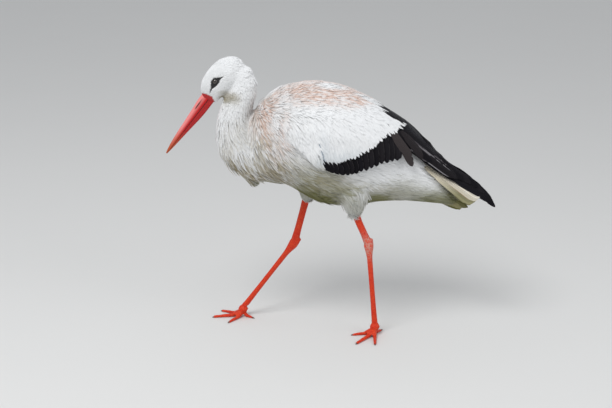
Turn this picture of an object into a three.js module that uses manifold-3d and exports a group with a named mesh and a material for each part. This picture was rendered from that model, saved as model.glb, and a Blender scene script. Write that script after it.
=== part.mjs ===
// A white stork at life size, walking with its head drawn back and its bill pointing down.
// Millimetres, +Z up. The bird faces -X, its left side is towards -Y, and z = 0 is the ground.

import * as THREE from 'three';
import { mergeVertices } from 'three/addons/utils/BufferGeometryUtils.js';
import Module from 'manifold-3d';

const wasm = await Module();
wasm.setup();

// ---------------------------------------------------------------------------
// Driving dimensions
// ---------------------------------------------------------------------------

const CUT = 0.35; // gap that parts one piece from the next
const BILL_LENGTH = 171;
const BILL_ANGLE = 52.4; // degrees that the bill points below the horizontal
const GAPE_RISE = -1; // height of the slit between the bill's halves, above the bill's line
const TOE_TUCK = 1.2; // how far a toe's round underside is flattened by the ground

// The middle of the bill's base. The head and the bill are measured from here.
const BILL_BASE = new THREE.Vector3(-292, 0, 594);
const EYE = { along: 48.5, rise: 12.5, aside: 21, radius: 7.5 };

// Bill: a long straight cone, deeper than wide.
const BILL = [
  { along: 6, rise: 1.5, high: 18.5, wide: 13 },
  { along: -18, rise: 1.2, high: 16.4, wide: 11.8 },
  { along: -44, rise: 0, high: 14.8, wide: 10 },
  { along: -68, rise: 0.3, high: 12.6, wide: 8.6 },
  { along: -93, rise: 0.8, high: 10.3, wide: 7.3 },
  { along: -117, rise: 1, high: 8.4, wide: 6 },
  { along: -142, rise: 0.9, high: 5.9, wide: 4.4 },
  { along: -158, rise: 0.4, high: 3.6, wide: 3 },
  { along: -BILL_LENGTH, rise: 0, high: 1.2, wide: 1 },
];

// Trunk with its contour feathers: back, belly and half width at each place along X.
const TRUNK = [
  { x: -202, back: 505, belly: 428, half: 26 },
  { x: -190, back: 556, belly: 402, half: 56 },
  { x: -160, back: 598, belly: 391, half: 78 },
  { x: -120, back: 622, belly: 391, half: 92 },
  { x: -75, back: 632, belly: 366, half: 98 },
  { x: -30, back: 633, belly: 340, half: 100 },
  { x: 15, back: 625, belly: 332, half: 98 },
  { x: 60, back: 606, belly: 331, half: 92 },
  { x: 105, back: 578, belly: 338, half: 80 },
  { x: 150, back: 538, belly: 341, half: 66 },
  { x: 195, back: 490, belly: 340, half: 52 },
  { x: 240, back: 434, belly: 336, half: 40 },
  { x: 280, back: 384, belly: 332, half: 28 },
  { x: 300, back: 356, belly: 332, half: 12 },
];
const MIDLINE_GAP = 2; // between the two wings where they meet over the back
const RUMP_X = 150; // where the trunk ends and the tail coverts begin

// Head: distance along the bill's line, rise of the middle, half height and half width.
const HEAD = [
  { along: -3, rise: 0, high: 18, wide: 12 },
  { along: 8, rise: 1, high: 23, wide: 16 },
  { along: 26, rise: 5, high: 32, wide: 23 },
  { along: 50, rise: 5, high: 36, wide: 28 },
  { along: 75, rise: 2, high: 37, wide: 31 },
  { along: 95, rise: -5, high: 33, wide: 28 },
  { along: 108, rise: -10, high: 25, wide: 21 },
  { along: 116, rise: -14, high: 10, wide: 9 },
];

// Neck from inside the head to inside the breast, with the ruff's thickness in it.
const NECK = [
  { x: -232, z: 672, deep: 16, wide: 20 },
  { x: -211, z: 648, deep: 29, wide: 28 },
  { x: -207, z: 624, deep: 33, wide: 31 },
  { x: -215, z: 600, deep: 35, wide: 34 },
  { x: -227, z: 568, deep: 37, wide: 38 },
  { x: -230, z: 535, deep: 43, wide: 43 },
  { x: -226, z: 500, deep: 48, wide: 50 },
  { x: -212, z: 466, deep: 52, wide: 58 },
  { x: -186, z: 438, deep: 46, wide: 60 },
  { x: -160, z: 424, deep: 30, wide: 48 },
];
const RUFF = [
  { x: -210, z: 482, deep: 36, wide: 44 },
  { x: -208, z: 452, deep: 38, wide: 46 },
  { x: -203, z: 424, deep: 33, wide: 42 },
  { x: -196, z: 400, deep: 24, wide: 32 },
  { x: -187, z: 378, deep: 9, wide: 14 },
];
const THROAT = { x: -266, z: 575 };
const NAPE = { x: -176, z: 603 };
const NECK_MIDDLE_FRONT = { x: -276, z: 520 };
const NECK_MIDDLE_BACK = { x: -186, z: 556 };

// Envelope of the folded wings: top, lower side, half width and thickness along X.
const WINGS = [
  { x: -124, top: 604, under: 420, half: 88, thick: 15 },
  { x: -108, top: 622, under: 380, half: 99, thick: 16 },
  { x: -75, top: 634, under: 345, half: 107, thick: 16 },
  { x: -30, top: 636, under: 328, half: 111, thick: 15 },
  { x: 15, top: 630, under: 330, half: 110, thick: 14 },
  { x: 60, top: 613, under: 340, half: 105, thick: 13 },
  { x: 105, top: 591, under: 352, half: 96, thick: 12 },
  { x: 150, top: 563, under: 360, half: 84, thick: 11 },
  { x: 195, top: 531, under: 366, half: 71, thick: 10 },
  { x: 240, top: 481, under: 362, half: 58, thick: 9 },
  { x: 285, top: 432, under: 348, half: 45, thick: 8 },
  { x: 330, top: 397, under: 330, half: 33, thick: 7 },
  { x: 370, top: 372, under: 322, half: 24, thick: 6 },
  { x: 408, top: 334, under: 310, half: 15, thick: 5 },
];

const ABOVE_RUMP = [340, 640]; // a corner clear of the wing, behind the tertials and over them

// Edges and borders on the side of the folded wing, each a few points of a smooth line.
const WING_LINES = {
  wrist: [[-104, 640], [-113, 600], [-118, 570], [-112, 536], [-96, 512], [-66, 488], [-34, 452], [-12, 446]],
  covertTips: [[-12, 446], [14, 466], [52, 480], [92, 500], [132, 526], [177, 541]],
  tertialRoots: [[177, 541], [130, 566], [86, 604], [80, 650]],
  panelEnd: [[177, 541], [196, 505], [200, 462]],
  panelEdge: [
    [-12, 446], [8, 438], [40, 433], [68, 438], [100, 452], [131, 460], [162, 466], [188, 444], [200, 462],
  ],
  primaryTop: [[200, 462], [240, 442], [280, 416], [306, 405]],
  primaryEdge: [[200, 462], [243, 426], [299, 391], [348, 361], [381, 342], [398, 334], [407, 323]],
  tip: [[407, 323], [404, 333], [392, 352], [370, 378], [340, 398], [306, 405]],
};

// Tail: a closed fan, arched like a roof, under the wing tips.
const TAIL = {
  root: { x: 140, z: 500 },
  end: { x: 364, z: 351 },
  rootHalf: 34,
  endHalf: 56,
  rootThick: 18,
  endThick: 6,
  arch: 27, // drop of the outer feathers below the middle ones
  roundEnd: 26, // how far the outer feathers end before the middle ones
};

// Legs: the left one trails, the right one reaches forward.
const LEGS = {
  left: {
    hip: { x: 50, y: -46, z: 400 },
    sock: { x: 60, y: -44, z: 321 },
    ankle: { x: 94, y: -42, z: 240 },
    foot: { x: 113, y: -40, z: 24 },
    thighDeep: 50,
    toeTurn: 52,
    hindTurn: 232,
  },
  right: {
    hip: { x: -42, y: 46, z: 404 },
    sock: { x: -58, y: 48, z: 330 },
    ankle: { x: -88, y: 58, z: 209 },
    foot: { x: -221, y: 75, z: 24 },
    thighDeep: 46,
    toeTurn: 8,
    hindTurn: 150,
  },
};

// Toes: length, half thickness, and degrees from the middle toe towards the inner side.
const TOES = {
  middle: { length: 80, girth: 6.6, spread: 0 },
  inner: { length: 60, girth: 6.2, spread: 44 },
  outer: { length: 68, girth: 6.2, spread: -36 },
  hind: { length: 34, girth: 5.6, spread: 0 },
};
const CLAW_LENGTH = 10;
const TOE_ARCH = { rise: 13, end: 0.42 }; // how high a toe starts, and the share of it that slopes down
const PALM = { long: 13, wide: 12.5, high: 11, z: 21 }; // half sizes of the foot's ball, and its height
const WEB = { reach: 24, half: 2.2, z: 9, root: 5 }; // skin between the front toes' bases
const TOE_TAPER = 0.6; // a toe's girth at its claw, as a share of its girth at the foot

const COLOURS = {
  plumage: 0xe9e6df,
  shoulder: 0xd9bfae,
  flight: 0x17161b,
  tail: 0xe2d6b4,
  bill: 0xd23426,
  leg: 0xd63a22,
  claw: 0x3a2c28,
  eye: 0x120d0c,
};

// ---------------------------------------------------------------------------
// Lofts, outlines and solids
// ---------------------------------------------------------------------------

/** One ring of a round, slightly squared section. */
function sectionRing(centre, across, upward, wide, high, squareness, around) {
  const ring = [];
  for (let k = 0; k < around; k += 1) {
    const angle = (2 * Math.PI * k) / around;
    const c = Math.cos(angle);
    const s = Math.sin(angle);
    const side = Math.sign(c) * Math.abs(c) ** (2 / squareness) * wide;
    const rise = Math.sign(s) * Math.abs(s) ** (2 / squareness) * high;
    ring.push(centre.clone().addScaledVector(across, side).addScaledVector(upward, rise));
  }
  return ring;
}

/** Closed surface through a row of rings, with each end closed by a fan. */
function skinRings(rings) {
  const around = rings[0].length;
  const points = rings.flat();
  const indices = [];
  for (let r = 0; r < rings.length - 1; r += 1) {
    for (let k = 0; k < around; k += 1) {
      const a = r * around + k;
      const b = r * around + ((k + 1) % around);
      indices.push(a, b, b + around, a, b + around, a + around);
    }
  }
  const first = points.length;
  points.push(centreOf(rings[0]), centreOf(rings[rings.length - 1]));
  const lastRing = (rings.length - 1) * around;
  for (let k = 0; k < around; k += 1) {
    const next = (k + 1) % around;
    indices.push(first, next, k);
    indices.push(first + 1, lastRing + k, lastRing + next);
  }
  const geometry = new THREE.BufferGeometry().setFromPoints(points);
  geometry.setIndex(indices);
  return facingOut(geometry);
}

function centreOf(ring) {
  const sum = new THREE.Vector3();
  ring.forEach((point) => sum.add(point));
  return sum.divideScalar(ring.length);
}

/** Turns the triangles round where they face inwards. */
function facingOut(geometry) {
  const position = geometry.getAttribute('position');
  const index = geometry.getIndex();
  const [a, b, c] = [new THREE.Vector3(), new THREE.Vector3(), new THREE.Vector3()];
  let volume = 0;
  for (let i = 0; i < index.count; i += 3) {
    a.fromBufferAttribute(position, index.getX(i));
    b.fromBufferAttribute(position, index.getX(i + 1));
    c.fromBufferAttribute(position, index.getX(i + 2));
    volume += a.dot(b.cross(c));
  }
  if (volume < 0) {
    for (let i = 0; i < index.count; i += 3) {
      const second = index.getX(i + 1);
      index.setX(i + 1, index.getX(i + 2));
      index.setX(i + 2, second);
    }
  }
  return geometry;
}

/**
 * Loft through stations { at: Vector3, wide, high }. Sections stand square to the line of the
 * stations, or upright across X when `upright` is set, and their width lies along Y.
 */
function loft(stations, { steps, around, squareness = 2, upright = false, grow = 0 }) {
  const line = new THREE.CatmullRomCurve3(stations.map((s) => s.at));
  const size = new THREE.CatmullRomCurve3(stations.map((s) => new THREE.Vector3(s.wide, s.high, 0)));
  const rings = [];
  for (let i = 0; i <= steps; i += 1) {
    const t = i / steps;
    const along = upright ? new THREE.Vector3(1, 0, 0) : line.getTangent(t);
    const across = new THREE.Vector3(0, 1, 0).addScaledVector(along, -along.y).normalize();
    const upward = new THREE.Vector3().crossVectors(along, across).normalize();
    const { x: wide, y: high } = size.getPoint(t);
    rings.push(sectionRing(line.getPoint(t), across, upward, wide + grow, high + grow, squareness, around));
  }
  if (grow > 0) {
    lengthenEnds(rings, grow);
  }
  return skinRings(rings);
}

/** Pushes a grown loft's first and last rings outwards along its line. */
function lengthenEnds(rings, distance) {
  const ends = [[0, 1], [rings.length - 1, rings.length - 2]];
  for (const [end, neighbour] of ends) {
    const outward = centreOf(rings[end]).sub(centreOf(rings[neighbour])).setLength(distance);
    rings[end].forEach((point) => point.add(outward));
  }
}

/** A smooth side outline, made of named lines that meet end to end, extruded along Y. */
function sidePrism(outline, from, to) {
  const shape = new THREE.Shape(outline.map(([x, z]) => new THREE.Vector2(x, z)));
  const geometry = new THREE.ExtrudeGeometry(shape, { depth: to - from, bevelEnabled: false, steps: 1 });
  geometry.rotateX(Math.PI / 2);
  geometry.translate(0, to, 0);
  return geometry;
}

/** Points of a smooth line through [x, z] pairs. */
function smooth(pairs, divisions = 2) {
  const curve = new THREE.SplineCurve(pairs.map(([x, z]) => new THREE.Vector2(x, z)));
  return curve.getPoints((pairs.length - 1) * divisions).map((point) => [point.x, point.y]);
}

/** A ribbon as wide as the cut, along a line of [x, z] pairs. */
function blade(pairs, from, to) {
  const left = [];
  const right = [];
  pairs.forEach(([x, z], i) => {
    const [x0, z0] = pairs[Math.max(i - 1, 0)];
    const [x1, z1] = pairs[Math.min(i + 1, pairs.length - 1)];
    const length = Math.hypot(x1 - x0, z1 - z0);
    const normal = [(-(z1 - z0) / length) * (CUT / 2), ((x1 - x0) / length) * (CUT / 2)];
    left.push([x + normal[0], z + normal[1]]);
    right.push([x - normal[0], z - normal[1]]);
  });
  return sidePrism([...left, ...right.reverse()], from, to);
}

function box(x0, x1, y0, y1, z0, z1) {
  const geometry = new THREE.BoxGeometry(x1 - x0, y1 - y0, z1 - z0);
  return geometry.translate((x0 + x1) / 2, (y0 + y1) / 2, (z0 + z1) / 2);
}

/** A three.js geometry as a solid that can be joined and cut. */
function solid(geometry) {
  const bare = geometry.clone();
  bare.deleteAttribute('normal');
  bare.deleteAttribute('uv');
  const merged = mergeVertices(bare);
  return new wasm.Manifold(new wasm.Mesh({
    numProp: 3,
    vertProperties: Float32Array.from(merged.getAttribute('position').array),
    triVerts: Uint32Array.from(merged.getIndex().array),
  }));
}

function joined(...solids) {
  return solids.reduce((whole, next) => whole.add(next));
}

function cutBy(whole, ...cutters) {
  return cutters.reduce((rest, cutter) => rest.subtract(cutter), whole);
}

/** A solid as a three.js geometry. */
function geometryOf(body) {
  const { vertProperties, numProp, triVerts } = body.getMesh();
  const position = [];
  for (let i = 0; i < vertProperties.length; i += numProp) {
    position.push(vertProperties[i], vertProperties[i + 1], vertProperties[i + 2]);
  }
  const geometry = new THREE.BufferGeometry();
  geometry.setAttribute('position', new THREE.Float32BufferAttribute(position, 3));
  geometry.setIndex(Array.from(triVerts));
  return geometry;
}

const FAR = 400; // reaches past the bird on every side
const ABOVE_GROUND = solid(box(-2 * FAR, 2 * FAR, -FAR, FAR, 0, 2 * FAR));

// ---------------------------------------------------------------------------
// Trunk, neck and head
// ---------------------------------------------------------------------------

function trunkLoft(grow = 0) {
  const stations = TRUNK.map(({ x, back, belly, half }) => ({
    at: new THREE.Vector3(x, 0, (back + belly) / 2),
    wide: half,
    high: (back - belly) / 2,
  }));
  return loft(stations, { steps: 20, around: 20, squareness: 2.15, upright: true, grow });
}

function spineLoft(stations, settings) {
  return loft(
    stations.map(({ x, z, deep, wide }) => ({ at: new THREE.Vector3(x, 0, z), wide, high: deep })),
    settings,
  );
}

/** Point on the head's own axes: `along` runs back from the bill's base, `rise` towards the forehead. */
function headPoint(along, rise, y = 0) {
  const angle = THREE.MathUtils.degToRad(BILL_ANGLE);
  const x = BILL_BASE.x + along * Math.cos(angle) - rise * Math.sin(angle);
  const z = BILL_BASE.z + along * Math.sin(angle) + rise * Math.cos(angle);
  return new THREE.Vector3(x, y, z);
}

function headLoft(grow = 0) {
  const stations = HEAD.map(({ along, rise, high, wide }) => ({ at: headPoint(along, rise), wide, high }));
  return loft(stations, { steps: 10, around: 16, squareness: 2.1, grow });
}

/** All in front of and above the line from one point to another on the neck. */
function regionAbove(front, back) {
  const reach = 120;
  const slope = (back.z - front.z) / (back.x - front.x);
  const start = [front.x - reach, front.z - reach * slope];
  const end = [back.x + reach, back.z + reach * slope];
  return [start, end, [end[0], end[1] + FAR], [start[0], start[1] + FAR]];
}

function lowered(point) {
  return { x: point.x, z: point.z - CUT };
}

function headAndNeck(trunkGrown) {
  const neck = solid(spineLoft(NECK, { steps: 12, around: 16 }));
  const ruff = solid(spineLoft(RUFF, { steps: 4, around: 10 }));
  const whole = cutBy(joined(solid(headLoft()), neck, ruff), trunkGrown);
  const aboveThroat = solid(sidePrism(regionAbove(THROAT, NAPE), -FAR, FAR));
  const belowThroat = solid(sidePrism(regionAbove(lowered(THROAT), lowered(NAPE)), -FAR, FAR));
  const aboveMiddle = solid(sidePrism(regionAbove(NECK_MIDDLE_FRONT, NECK_MIDDLE_BACK), -FAR, FAR));
  const belowMiddle = solid(
    sidePrism(regionAbove(lowered(NECK_MIDDLE_FRONT), lowered(NECK_MIDDLE_BACK)), -FAR, FAR),
  );
  const rest = whole.subtract(belowThroat);
  return {
    head: cutBy(whole.intersect(aboveThroat), eyeBall(-1, CUT), eyeBall(1, CUT)),
    neckUpper: rest.intersect(aboveMiddle),
    neckLower: rest.subtract(belowMiddle),
  };
}

// ---------------------------------------------------------------------------
// Bill and eyes
// ---------------------------------------------------------------------------

/** The bill's upper and lower half, parted along the gape. */
function billHalves(headGrown) {
  const stations = BILL.map(({ along, rise, high, wide }) => ({ at: headPoint(along, rise), wide, high }));
  const bill = solid(loft(stations, { steps: 9, around: 12, squareness: 2.2 })).subtract(headGrown);
  const back = headPoint(FAR, GAPE_RISE);
  const front = headPoint(-FAR, GAPE_RISE);
  const slit = solid(blade([[front.x, front.z], [back.x, back.z]], -FAR, FAR));
  const beyond = headPoint(-FAR, GAPE_RISE + FAR);
  const behind = headPoint(FAR, GAPE_RISE + FAR);
  const upperSide = solid(sidePrism(
    [[front.x, front.z], [beyond.x, beyond.z], [behind.x, behind.z], [back.x, back.z]],
    -FAR,
    FAR,
  ));
  const parted = bill.subtract(slit);
  return { upper: parted.intersect(upperSide), lower: parted.subtract(upperSide) };
}

function eyeBall(side, grow = 0) {
  const centre = headPoint(EYE.along, EYE.rise, side * EYE.aside);
  const ball = new THREE.SphereGeometry(EYE.radius + grow, 9, 5);
  return solid(ball.translate(centre.x, centre.y, centre.z));
}

// ---------------------------------------------------------------------------
// Wings and tail
// ---------------------------------------------------------------------------

function wingEnvelope(inset) {
  const stations = WINGS.map(({ x, top, under, half, thick }) => ({
    at: new THREE.Vector3(x, 0, (top + under) / 2),
    wide: half - inset * thick,
    high: (top - under) / 2 - inset * thick,
  }));
  if (inset > 0) {
    const past = 6;
    stations[0].at.x -= past;
    stations[stations.length - 1].at.x += past;
  }
  return solid(loft(stations, { steps: 15, around: 20, squareness: 2.2, upright: true }));
}

/** Each wing's four groups of feathers, as plates that hug the trunk and lie over the tail. */
function wingParts(bodyGrown, tailGrown) {
  const lines = Object.fromEntries(Object.entries(WING_LINES).map(([name, pairs]) => [name, smooth(pairs)]));
  const back = (name) => [...lines[name]].reverse();
  const blades = ['covertTips', 'tertialRoots', 'panelEnd', 'primaryTop']
    .map((name) => solid(blade(lines[name], -FAR, FAR)));
  const plate = cutBy(wingEnvelope(0), wingEnvelope(1), bodyGrown, tailGrown, ...blades);
  const outlines = {
    coverts: [...lines.wrist, ...lines.covertTips, ...lines.tertialRoots],
    secondaries: [...lines.panelEdge, ...back('panelEnd'), ...back('covertTips')],
    tertials: [...lines.panelEnd, ...lines.primaryTop, ABOVE_RUMP, ...back('tertialRoots')],
    primaries: [...lines.primaryEdge, ...lines.tip, ...back('primaryTop')],
  };
  const halves = { left: [-FAR, -MIDLINE_GAP / 2], right: [MIDLINE_GAP / 2, FAR] };
  const parts = {};
  for (const [name, outline] of Object.entries(outlines)) {
    for (const [side, [from, to]] of Object.entries(halves)) {
      parts[`${name}_${side}`] = plate.intersect(solid(sidePrism(withoutRepeats(outline), from, to)));
    }
  }
  return parts;
}

function withoutRepeats(outline) {
  return outline.filter(([x, z], i) => {
    const [x0, z0] = outline[(i + outline.length - 1) % outline.length];
    return Math.hypot(x - x0, z - z0) > 1e-6;
  });
}

/** The tail's fan: thin, arched across its width, its outer feathers a little shorter. */
function tailFan(grow = 0) {
  const steps = 7;
  const half = 8;
  const { root, end } = TAIL;
  const direction = new THREE.Vector3(end.x - root.x, 0, end.z - root.z).normalize();
  const normal = new THREE.Vector3(-direction.z, 0, direction.x);
  const rings = [];
  for (let i = 0; i <= steps; i += 1) {
    const t = i / steps;
    const middle = new THREE.Vector3(
      THREE.MathUtils.lerp(root.x, end.x, t), 0, THREE.MathUtils.lerp(root.z, end.z, t),
    );
    const wide = THREE.MathUtils.lerp(TAIL.rootHalf, TAIL.endHalf, t ** 0.8) + grow;
    const thick = THREE.MathUtils.lerp(TAIL.rootThick, TAIL.endThick, t) / 2 + grow;
    const ring = [];
    for (let k = 0; k < 2 * half; k += 1) {
      const upperSide = k < half;
      const u = upperSide ? 1 - (2 * k) / (half - 1) : (2 * (k - half)) / (half - 1) - 1;
      const edge = Math.abs(u);
      const point = middle.clone();
      point.y = u * wide;
      point.addScaledVector(normal, -TAIL.arch * edge ** 2.2 * (0.4 + 0.6 * t));
      point.addScaledVector(normal, (upperSide ? thick : -thick) * (1 - 0.55 * edge ** 4));
      point.addScaledVector(direction, -TAIL.roundEnd * edge ** 2 * t);
      ring.push(point);
    }
    rings.push(ring);
  }
  return skinRings(rings);
}

// ---------------------------------------------------------------------------
// Legs and feet
// ---------------------------------------------------------------------------

function vector({ x, y, z }) {
  return new THREE.Vector3(x, y, z);
}

function thighLoft({ hip, sock, thighDeep }, grow = 0) {
  const stations = [
    { at: vector(hip), wide: 40, high: thighDeep },
    { at: vector(hip).lerp(vector(sock), 0.35), wide: 38, high: thighDeep * 0.88 },
    { at: vector(hip).lerp(vector(sock), 0.7), wide: 27, high: thighDeep * 0.56 },
    { at: vector(sock), wide: 12.5, high: 14 },
  ];
  return loft(stations, { steps: 4, around: 12, grow });
}

function shankLoft({ hip, sock, ankle }, grow = 0) {
  const top = vector(sock).lerp(vector(hip), 0.3);
  const stations = [
    { at: top, wide: 9.5, high: 11 },
    { at: vector(sock), wide: 8.5, high: 9.5 },
    { at: vector(sock).lerp(vector(ankle), 0.6), wide: 7.5, high: 8.5 },
    { at: vector(ankle), wide: 9, high: 11 },
  ];
  return loft(stations, { steps: 4, around: 9, grow });
}

function tarsusLoft({ ankle, foot, sock }, grow = 0) {
  const above = vector(ankle).lerp(vector(sock), 0.09);
  const stations = [
    { at: above, wide: 8, high: 9.5 },
    { at: vector(ankle), wide: 10.5, high: 13.5 },
    { at: vector(ankle).lerp(vector(foot), 0.07), wide: 8.6, high: 10 },
    { at: vector(ankle).lerp(vector(foot), 0.16), wide: 5.8, high: 7 },
    { at: vector(ankle).lerp(vector(foot), 0.5), wide: 5.2, high: 6.4 },
    { at: vector(ankle).lerp(vector(foot), 0.88), wide: 6, high: 7 },
    { at: vector(foot), wide: 8, high: 8.5 },
  ];
  return loft(stations, { steps: 8, around: 9, grow });
}

function palmGeometry({ foot }, grow = 0) {
  const palm = new THREE.SphereGeometry(1, 8, 6);
  palm.scale(PALM.long + grow, PALM.wide + grow, PALM.high + grow);
  return palm.translate(foot.x, foot.y, PALM.z);
}

/** The sloping skin from the ball of the foot to the bases of the front toes. */
function webBody(side) {
  const corners = ['middle', 'inner', 'outer'].map((name) => {
    const corner = new THREE.SphereGeometry(WEB.half, 4, 3).translate(-WEB.reach, 0, WEB.z);
    return solid(placeOnFoot(corner, side, name));
  });
  const { foot } = LEGS[side];
  const root = new THREE.SphereGeometry(WEB.root, 5, 3).translate(foot.x, foot.y, PALM.z - WEB.root / 2);
  return wasm.Manifold.hull([solid(root), ...corners]);
}

/** Degrees from straight ahead at which each toe of a foot points, turned towards -Y. */
function toeHeading(side, name) {
  const { toeTurn, hindTurn } = LEGS[side];
  if (name === 'hind') {
    return hindTurn;
  }
  const inward = side === 'left' ? -1 : 1;
  return toeTurn + inward * TOES[name].spread;
}

/** A toe along -X from the middle of the foot: it slopes down, then lies flat, with a pad under each bone. */
function toeLoft(length, girth, grow = 0) {
  const reach = length - CLAW_LENGTH * 0.7;
  const stations = [0, 0.2, 0.4, 0.55, 0.7, 0.85, 1].map((part, i) => {
    const pad = i % 2 === 0 ? 1 : 0.9;
    const radius = girth * THREE.MathUtils.lerp(1, TOE_TAPER, part) * pad;
    const lift = TOE_ARCH.rise * Math.max(0, 1 - part / TOE_ARCH.end) ** 1.3;
    return { at: new THREE.Vector3(-reach * part, 0, radius - TOE_TUCK + lift), wide: radius, high: radius };
  });
  return loft(stations, { steps: 6, around: 7, grow });
}

/** A short blunt claw that grows out of the end of the toe. */
function clawLoft(length, girth) {
  const end = girth * TOE_TAPER;
  const start = -(length - CLAW_LENGTH);
  const stations = [
    { part: 0, height: 1, wide: 0.62, high: 0.6 },
    { part: 0.5, height: 1, wide: 0.62, high: 0.55 },
    { part: 1, height: 0.5, wide: 0.3, high: 0.25 },
  ].map(({ part, height, wide, high }) => ({
    at: new THREE.Vector3(start - CLAW_LENGTH * part, 0, (end - TOE_TUCK) * height),
    wide: end * wide,
    high: end * high,
  }));
  return loft(stations, { steps: 2, around: 5 });
}

function placeOnFoot(geometry, side, name) {
  const { foot } = LEGS[side];
  geometry.rotateZ(THREE.MathUtils.degToRad(toeHeading(side, name)));
  return geometry.translate(foot.x, foot.y, 0);
}

function legParts(side, trunkGrown) {
  const leg = LEGS[side];
  const parts = {};
  const thigh = solid(thighLoft(leg));
  const palmGrown = solid(palmGeometry(leg, CUT));
  const tarsusGrown = solid(tarsusLoft(leg, CUT));
  parts.thigh = thigh.subtract(trunkGrown);
  parts.shank = cutBy(solid(shankLoft(leg)), solid(thighLoft(leg, CUT)), tarsusGrown);
  parts.tarsus = cutBy(solid(tarsusLoft(leg)), palmGrown);
  let webs = webBody(side).subtract(tarsusGrown);
  let inTheWay = joined(palmGrown, tarsusGrown);
  for (const [name, { length, girth }] of Object.entries(TOES)) {
    const toe = solid(placeOnFoot(toeLoft(length, girth), side, name));
    const toeGrown = solid(placeOnFoot(toeLoft(length, girth, CUT), side, name));
    const claw = solid(placeOnFoot(clawLoft(length, girth), side, name));
    parts[`toe_${name}`] = toe.subtract(inTheWay).intersect(ABOVE_GROUND);
    parts[`claw_${name}`] = claw.subtract(toeGrown).intersect(ABOVE_GROUND);
    inTheWay = inTheWay.add(toeGrown);
    webs = webs.subtract(toeGrown);
  }
  parts.foot = solid(palmGeometry(leg)).add(webs);
  return parts;
}

// ---------------------------------------------------------------------------
// The stork
// ---------------------------------------------------------------------------

const stork = new THREE.Group();

function addPart(name, body, colour, roughness = 0.8) {
  const geometry = geometryOf(body);
  const material = new THREE.MeshStandardMaterial({ color: colour, roughness, metalness: 0 });
  const mesh = new THREE.Mesh(geometry, material);
  mesh.name = name;
  stork.add(mesh);
}

const trunk = solid(trunkLoft());
const trunkGrown = solid(trunkLoft(CUT));
const { head, neckUpper, neckLower } = headAndNeck(trunkGrown);
addPart('head', head, COLOURS.plumage);
addPart('neck_upper', neckUpper, COLOURS.plumage);
addPart('neck_lower', neckLower, COLOURS.plumage);
const behindRump = solid(box(RUMP_X, FAR, -FAR, FAR, 0, 2 * FAR));
const behindCut = behindRump.translate([CUT, 0, 0]);
addPart('trunk', trunk.subtract(behindRump), COLOURS.shoulder);
addPart('tail_coverts', trunk.intersect(behindCut), COLOURS.plumage);

const { upper, lower } = billHalves(solid(headLoft(CUT)));
addPart('bill_upper', upper, COLOURS.bill, 0.45);
addPart('bill_lower', lower, COLOURS.bill, 0.45);
addPart('eye_left', eyeBall(-1), COLOURS.eye, 0.1);
addPart('eye_right', eyeBall(1), COLOURS.eye, 0.1);

const tail = solid(tailFan()).subtract(trunkGrown);
addPart('tail', tail, COLOURS.tail);

for (const [name, body] of Object.entries(wingParts(trunkGrown, solid(tailFan(CUT))))) {
  addPart(name, body, name.startsWith('coverts') ? COLOURS.plumage : COLOURS.flight, 0.6);
}

for (const side of Object.keys(LEGS)) {
  for (const [name, body] of Object.entries(legParts(side, trunkGrown))) {
    const isClaw = name.startsWith('claw');
    const colour = name === 'thigh' ? COLOURS.plumage : isClaw ? COLOURS.claw : COLOURS.leg;
    addPart(`${name}_${side}`, body, colour, isClaw ? 0.4 : 0.7);
  }
}

// The origin is on the ground, under the middle of the bird.
const middle = new THREE.Box3().setFromObject(stork).getCenter(new THREE.Vector3());
stork.position.set(-middle.x, -middle.y, 0);

export default stork;
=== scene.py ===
# The looks of a walking white stork: skin, feathers, bill, eyes, legs and claws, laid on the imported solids.
# Metres, +Z up. The bird faces -X and its left side is towards -Y. Tables of places are in millimetres.

import math

import bpy
import numpy as np
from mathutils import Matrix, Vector
from mathutils.bvhtree import BVHTree


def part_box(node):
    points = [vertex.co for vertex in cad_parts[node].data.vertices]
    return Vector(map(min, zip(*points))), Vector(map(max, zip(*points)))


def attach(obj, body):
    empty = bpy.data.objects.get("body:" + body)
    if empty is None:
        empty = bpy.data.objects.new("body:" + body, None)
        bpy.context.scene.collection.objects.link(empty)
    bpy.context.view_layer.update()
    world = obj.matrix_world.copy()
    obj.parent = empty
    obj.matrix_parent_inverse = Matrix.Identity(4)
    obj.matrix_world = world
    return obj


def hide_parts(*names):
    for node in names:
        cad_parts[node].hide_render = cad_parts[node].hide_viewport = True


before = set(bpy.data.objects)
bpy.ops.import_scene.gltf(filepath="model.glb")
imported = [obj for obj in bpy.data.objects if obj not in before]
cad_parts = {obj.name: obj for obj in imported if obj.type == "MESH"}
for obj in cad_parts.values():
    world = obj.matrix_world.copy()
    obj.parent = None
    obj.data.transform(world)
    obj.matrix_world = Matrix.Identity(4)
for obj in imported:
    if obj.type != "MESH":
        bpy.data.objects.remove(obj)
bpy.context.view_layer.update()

MM = 0.001
SIDES = {"left": -1, "right": 1}
BODY_NODES = ["head", "neck_upper", "neck_lower", "trunk", "tail_coverts", "thigh_left", "thigh_right"]
EYE_NODES = ["eye_left", "eye_right"]
COVERT_NODES = ["coverts_left", "coverts_right"]
FLIGHT_NODES = [f"{part}_{side}" for part in ("secondaries", "tertials", "primaries") for side in SIDES]
TOE_NAMES = ("middle", "inner", "outer", "hind")

HEAD_TILT = math.radians(52.4)  # the bill points this far below the horizontal
HEAD_AXIS = np.array([math.cos(HEAD_TILT), 0.0, math.sin(HEAD_TILT)])
HEAD_RISE = np.array([-math.sin(HEAD_TILT), 0.0, math.cos(HEAD_TILT)])
ACROSS = np.array([0.0, 1.0, 0.0])
BILL_BASE = np.array([-0.29685, 0.0, 0.594])  # where the bill's middle line meets the face

BODY_VOXEL, LEG_VOXEL = 0.003, 0.0015  # how finely the skins are remeshed
SKIN_SHARE = 0.5  # how far the skin lies under the coat's outside, as a share of the coat's depth
ROOT_SHARE = 0.6  # and the roots of the feathers
BAKE_PATCH = 0.003  # size of each feather's patch in the bake
RELIEF_STEP = 0.004


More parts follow.
